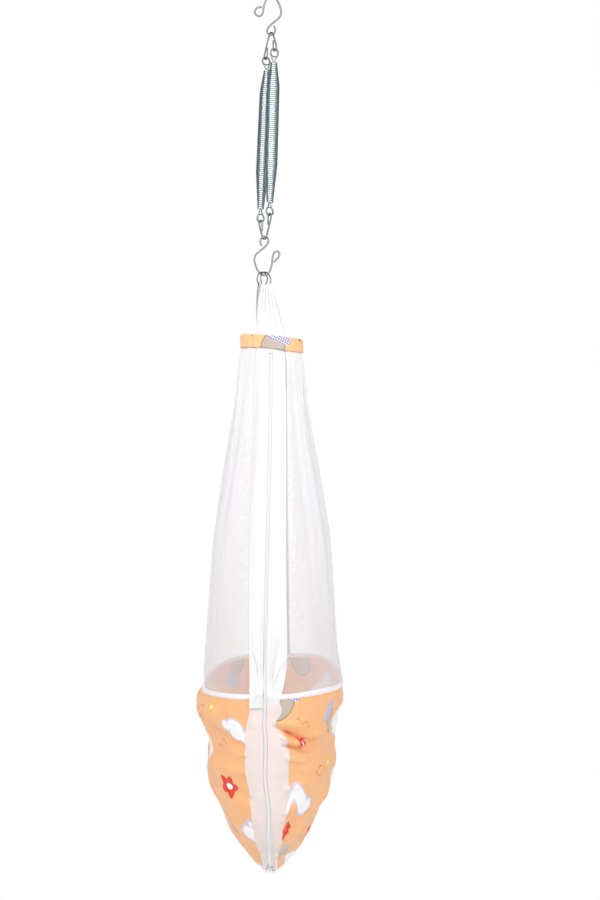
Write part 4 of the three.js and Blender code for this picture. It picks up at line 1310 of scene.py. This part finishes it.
# %% Slider, puller and stops
CAST_EDGE, GRIP_RIBS = 0.35, 5
CAST_BODIES = {"zip_slider": "zip_slider", "zip_puller": "zip_puller",
               "zip_top_stop": "cradle", "zip_bottom_stop": "cradle"}


def cast_piece(name, body):
    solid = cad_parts[name].data.copy()
    solid.materials.clear()
    solid.materials.append(cast_zinc)
    solid.shade_smooth()
    piece = bpy.data.objects.new(name + "_cast", solid)
    bpy.context.scene.collection.objects.link(piece)
    edge = piece.modifiers.new("cast_edge", "BEVEL")
    edge.width, edge.segments, edge.harden_normals = CAST_EDGE * MM, 3, True
    stands_for(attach(piece, body), name)


for name, body in CAST_BODIES.items():
    cast_piece(name, body)

RIB_WIRE, RIB_PITCH, FIRST_RIB = 0.8, 2.2, 4.0
RIB_LINE = np.outer((-1, -0.5, 0.5, 1), (2.6, 0, 0))
low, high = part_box("zip_puller")
for rib in range(GRIP_RIBS):
    for face, y in (("front", low.y), ("back", high.y)):
        middle = np.array([(low.x + high.x) / 2, y, low.z]) / MM \
            + UP * (FIRST_RIB + RIB_PITCH * rib)
        bar = wire_piece(f"grip_rib_{face}_{rib}", middle + RIB_LINE, RIB_WIRE, cast_zinc,
                         "zip_puller", sides=8)
print("cast pieces:", len(CAST_BODIES), "with", 2 * GRIP_RIBS, "grip ribs")

# %% [markdown]
# ## Keel seam
#
# A folded tape covers the seam from the zip's end, under the bag and up the far end.

# %% Keel seam
SEAM_WIDTH, SEAM_BULGE = 20.0, 1.1


def keel_seam():
    near = np.linspace(TAPE_END + BAG_CLOTH, NET_HEIGHT + BAG_DEPTH, 14)
    far = np.linspace(NET_HEIGHT + BAG_DEPTH, NET_HEIGHT + PANEL_OVERHANG + 10, 150)
    first, last = middle_line(near, -1, TAPE_OUT), middle_line(far, 1, TAPE_OUT)
    path = np.vstack([first, (first[-1] + last[0]) / 2, last])
    out = np.cross(unit(np.gradient(path, axis=0)), [1.0, 0, 0])
    across = np.linspace(-1, 1, 9)[None, :, None]
    points = path[:, None, :] + across * [SEAM_WIDTH / 2, 0, 0] \
        + SEAM_BULGE * (1 - across ** 2) * out[:, None, :]
    piece = stands_for(cloth_piece("keel_seam_tape", points, bias_tape, 0.8),
                       "keel_seam")
    seams = [stitches(f"keel_stitches_{edge}", points[1:-1, column] + out[1:-1] * 0.5)
             for edge, column in (("left", 1), ("right", 7))]
    length = round(cloth_length(path), 3)
    return length


print("keel seam, metres:", keel_seam())

# %% [markdown]
# ## Band and hoop
#
# The band is printed cotton folded over a wire hoop, which keeps the net's top open. The
# cloth follows the wire closely above and waves a little along its lower edge.

# %% Band and hoop
HOOP_WIRE, BAND_FOLD, BAND_INSET = 3.5, 1.2, 0.3
BAND_DEPTH = HOOP_WIRE + 2 * (BAND_FOLD + FIT)
BAND_MIDDLE = BAND_RADIUS - BAND_DEPTH / 2
# Shares of the band's height: its straight sides, and the round fold over the hoop
BAND_SIDE, BAND_CROWN = 0.86, 0.135
BAND_WAVES = ((5, 0.9, 0.7), (11, 0.6, 2))  # count, size in mm and start
INNER_WAVE = -0.4  # what the inner layer moves, as a share of the outer one's waves
FAR_LIFT = 7.0  # how much higher the band's lower edge is at the far end
BAND_CREASE = (2.4, 4.07, 0.035)  # depth in mm, direction and half width in radians
BAND_PRINT = (0.183, 0.168)


def band():
    """The seam of the band is at the far end, so the near end is its middle."""
    angle = np.linspace(math.pi / 2, 2.5 * math.pi, 361)
    height, half = BAND_TOP - BAND_BOTTOM, BAND_DEPTH / 2 - BAND_INSET
    turn = BAND_SIDE * height
    inner = [(-half, BAND_BOTTOM + turn * s) for s in np.linspace(0, 1, 9)]
    over = [(half * math.cos(t), BAND_BOTTOM + turn + BAND_CROWN * height * math.sin(t))
            for t in np.linspace(math.pi, 0, 11)[1:-1]]
    outer = [(half, BAND_BOTTOM + turn * s) for s in np.linspace(1, 0, 13)]
    wave = sum(size * np.sin(count * angle + start) for count, size, start in BAND_WAVES)
    lift = 0.8 * np.sin(3 * angle + 1) + FAR_LIFT * np.maximum(np.sin(angle), 0) ** 2
    deep, place, spread = BAND_CREASE
    crease = deep * np.exp(-((angle - place) / spread) ** 2)
    rows = []
    for off, z in [*inner, *over, *outer]:
        low = (BAND_TOP - z) / height
        radius = BAND_MIDDLE + off
        radius = radius + (low * wave - crease if off > 0 else INNER_WAVE * low * wave)
        rows.append(np.stack([radius * np.cos(angle), radius * np.sin(angle),
                              z + low * lift], 1))
    points = settle(np.array(rows))
    # The band's print has its ground painted paler, as painted light from behind
    piece = cloth_piece("hoop_band_cloth", points, band_cotton_painted_light, 0.5, BAND_PRINT)
    stands_for(piece, "hoop_band")
    edge = points[-3]
    seam = stitches("band_stitches", edge + 0.35 * unit(edge * [1, 1, 0]))
    area = flat_area(points)
    return area


angle = np.linspace(0, 2 * math.pi, 160, endpoint=False)
hoop_z = BAND_TOP - BAND_FOLD - FIT - HOOP_WIRE / 2
hoop_line = np.stack([BAND_MIDDLE * np.cos(angle), BAND_MIDDLE * np.sin(angle),
                      hoop_z + 0 * angle], 1)
hoop = wire_piece("spreader_hoop_wire", settle(hoop_line), HOOP_WIRE, galvanised_wire,
                  "cradle", closed=True)
stands_for(hoop, "spreader_hoop")
print("band, square metres:", round(band(), 4))

# %% [markdown]
# ## Hangers
#
# Above the band the straps are gathered: the cloth goes through a ring, folds back on
# itself and is sewn. Its pleats are tight at the ring and open towards the band.

# %% Hangers
HANGER_TOP, HANGER_BOTTOM, PLEATS, TAIL = 23.0, 62.0, 5, 26.0
HANGER_GAP, TAIL_FLARE = 0.9, 0.08
# The pleats' depth in mm: in the tail, over the ring and, at the most, below it
TAIL_PLEAT, RING_PLEAT, OPEN_PLEAT = 0.6, 0.3, 2.4
WIDENING, TURNING = 0.62, 1.8  # powers: how soon the strap widens and turns to the band


def hanger(end):
    """From the sewn tail up behind, over the ring and down to the band in front."""
    side = ENDS[end]
    foot = on_ring([[0, 0, -RING_RADIUS]], end)[0]
    bore = RING_WIRE / 2 + HANGER_GAP
    goal = np.array([0, side * BAND_MIDDLE, BAND_TOP - SEWN_IN])
    u = np.linspace(-1, 1, 81)
    level = heading(RING_YAW)
    normal = np.cross(UP, level) * side
    rise = RING_RADIUS - np.sqrt(RING_RADIUS ** 2 - (HANGER_TOP / 2 * u) ** 2)
    pleat = np.cos(math.pi * PLEATS * u)
    rows = []
    for fall in np.linspace(TAIL, 2, 12):
        centre = foot - normal * bore * (1 - 0.7 * fall / TAIL) - UP * fall
        rows.append(centre + np.outer(u * (HANGER_TOP / 2 + TAIL_FLARE * fall), level)
                    + np.outer(rise, UP) + np.outer(TAIL_PLEAT * pleat, normal))
    for turn in np.linspace(math.pi, 0, 13):
        centre = foot + normal * bore * math.cos(turn) + UP * bore * math.sin(turn)
        rows.append(centre + np.outer(u * HANGER_TOP / 2, level) + np.outer(rise, UP)
                    + np.outer(RING_PLEAT * pleat, normal))
    for v in np.linspace(0.02, 1, 48):
        spread = u * (HANGER_TOP + (HANGER_BOTTOM - HANGER_TOP) * v ** WIDENING) / 2
        way = heading(RING_YAW * (1 - v) ** TURNING)
        deep = OPEN_PLEAT * math.sin(math.pi * min(v + 0.06, 1)) ** 0.6 \
            + RING_PLEAT * (1 - v)
        opened = deep * np.cos(math.pi * PLEATS * u + 0.5 * np.sin(5 * v))
        curve = BAND_MIDDLE - np.sqrt(BAND_MIDDLE ** 2 - spread ** 2)
        rows.append(foot + normal * bore * (1 - v) + (goal - foot) * v
                    + np.outer(spread, way) + np.outer(opened, np.cross(UP, way) * side)
                    - np.outer(v * v * curve, [0, side, 0])
                    + np.outer(rise * (1 - v) ** 3, UP))
    points = settle(np.array(rows))
    piece = stands_for(cloth_piece(f"{end}_hanger_cloth", points, white_cotton, 0.7),
                       f"{end}_hanger")
    area = flat_area(points)
    return area


print("hangers, square metres:", [round(hanger(end), 4) for end in ENDS])

# %% [markdown]
# ## Studio
#
# The cradle hangs in a bright white studio. The camera stands level, 3.5 m in front of
# the hooks, at the height of the net. A light from the left and above models the folds, a
# broader one from the right fills them, and one behind shines through net and band. Two
# weaker ones, in front and above, lift the shadows, and a pale floor lies below. Only
# glossy rays see the room's bright front and dark sides, so the wire shines while the
# cloth is lit evenly.

# %% Camera
IMAGE_HEIGHT, FOCAL_PIXELS = 900, 1628
scene = bpy.context.scene
lens = bpy.data.cameras.new("camera")
lens.sensor_width = 36
lens.lens = lens.sensor_width * FOCAL_PIXELS / IMAGE_HEIGHT
lens.clip_start, lens.clip_end = 0.1, 50
camera = bpy.data.objects.new("camera", lens)
camera.location = (0.0613, -3.5, -0.973)
camera.rotation_euler = (math.pi / 2, 0, 0)
scene.collection.objects.link(camera)
scene.camera = camera
print("camera:", round(lens.lens, 1), "mm lens")

# %% Light
# Name, place, what it points at, width in metres and power in watts
LIGHTS = (
    ("front", (-0.5, -4.1, -0.5), (0, 0, -0.9), 2.4, 15),
    ("key", (-1.9, -2.4, 0.9), (0, 0, -1.3), 0.9, 34),
    ("fill", (2.6, -2.2, 0.2), (0, 0, -1.2), 1.6, 26),
    ("top", (0.4, -1.2, -0.1), (0, 0, -0.85), 0.8, 3),
    ("back", (-0.8, 3.0, 0.4), (0, 0, -1.0), 2.0, 16),
)


def area_light(name, place, aim, size, watts):
    lamp = bpy.data.lights.new(name, "AREA")
    lamp.shape, lamp.size, lamp.energy = "DISK", size, watts
    holder = bpy.data.objects.new(name, lamp)
    holder.location = place
    way = np.array(aim) - np.array(place)
    holder.rotation_euler = (math.acos(-way[2] / np.linalg.norm(way)), 0,
                             math.atan2(way[1], way[0]) - math.pi / 2)
    scene.collection.objects.link(holder)


for made in LIGHTS:
    area_light(*made)
print("lights:", [made[0] for made in LIGHTS])

# %% World: even white for cloth, and for metal a bright front between dark sides
WHITE = (1, 1, 1, 1)
world = bpy.data.worlds.new("studio")
scene.world = world
world.use_nodes = True
sky = world.node_tree
sky.nodes.clear()
ray = node(sky, "LightPath").outputs
way = node(sky, "TexCoord").outputs["Generated"]
forward = node(sky, "SeparateXYZ", (way,)).outputs[1]
softbox = node(sky, "MapRange", {
    "Value": forward, "From Min": -0.92, "From Max": -0.64, "To Min": 3.5,
    "To Max": 0.16}, interpolation_type="SMOOTHSTEP")
backdrop = node(sky, "Background", {"Color": WHITE, "Strength": 1.0})
room = node(sky, "Background", {"Color": WHITE, "Strength": 0.66})
walls = node(sky, "Background", {"Color": linear("#F2F7FA"), "Strength": softbox})
lit = node(sky, "MixShader", (ray["Is Glossy Ray"], room, walls))
seen = node(sky, "MixShader", (ray["Is Camera Ray"], lit, backdrop))
node(sky, "OutputWorld", {"Surface": seen})
scene.view_settings.view_transform = "Standard"
print("world:", len(sky.nodes), "nodes")

# %% Floor
FLOOR_Z = -2.45
floor_mesh = bpy.data.meshes.new("floor")
corners = ((-4, -4), (4, -4), (4, 1.7), (-4, 1.7))
floor_mesh.from_pydata([(x, y, FLOOR_Z) for x, y in corners], [], [(0, 1, 2, 3)])
# Matt painted board: it throws soft light back up and shows no reflection
floor_mesh.materials.append(finish("pale_floor", {
    "Base Color": linear("#F4F4F4"), "Roughness": 0.9}))
floor = bpy.data.objects.new("floor", floor_mesh)
scene.collection.objects.link(floor)
print("floor at", FLOOR_Z, "m")
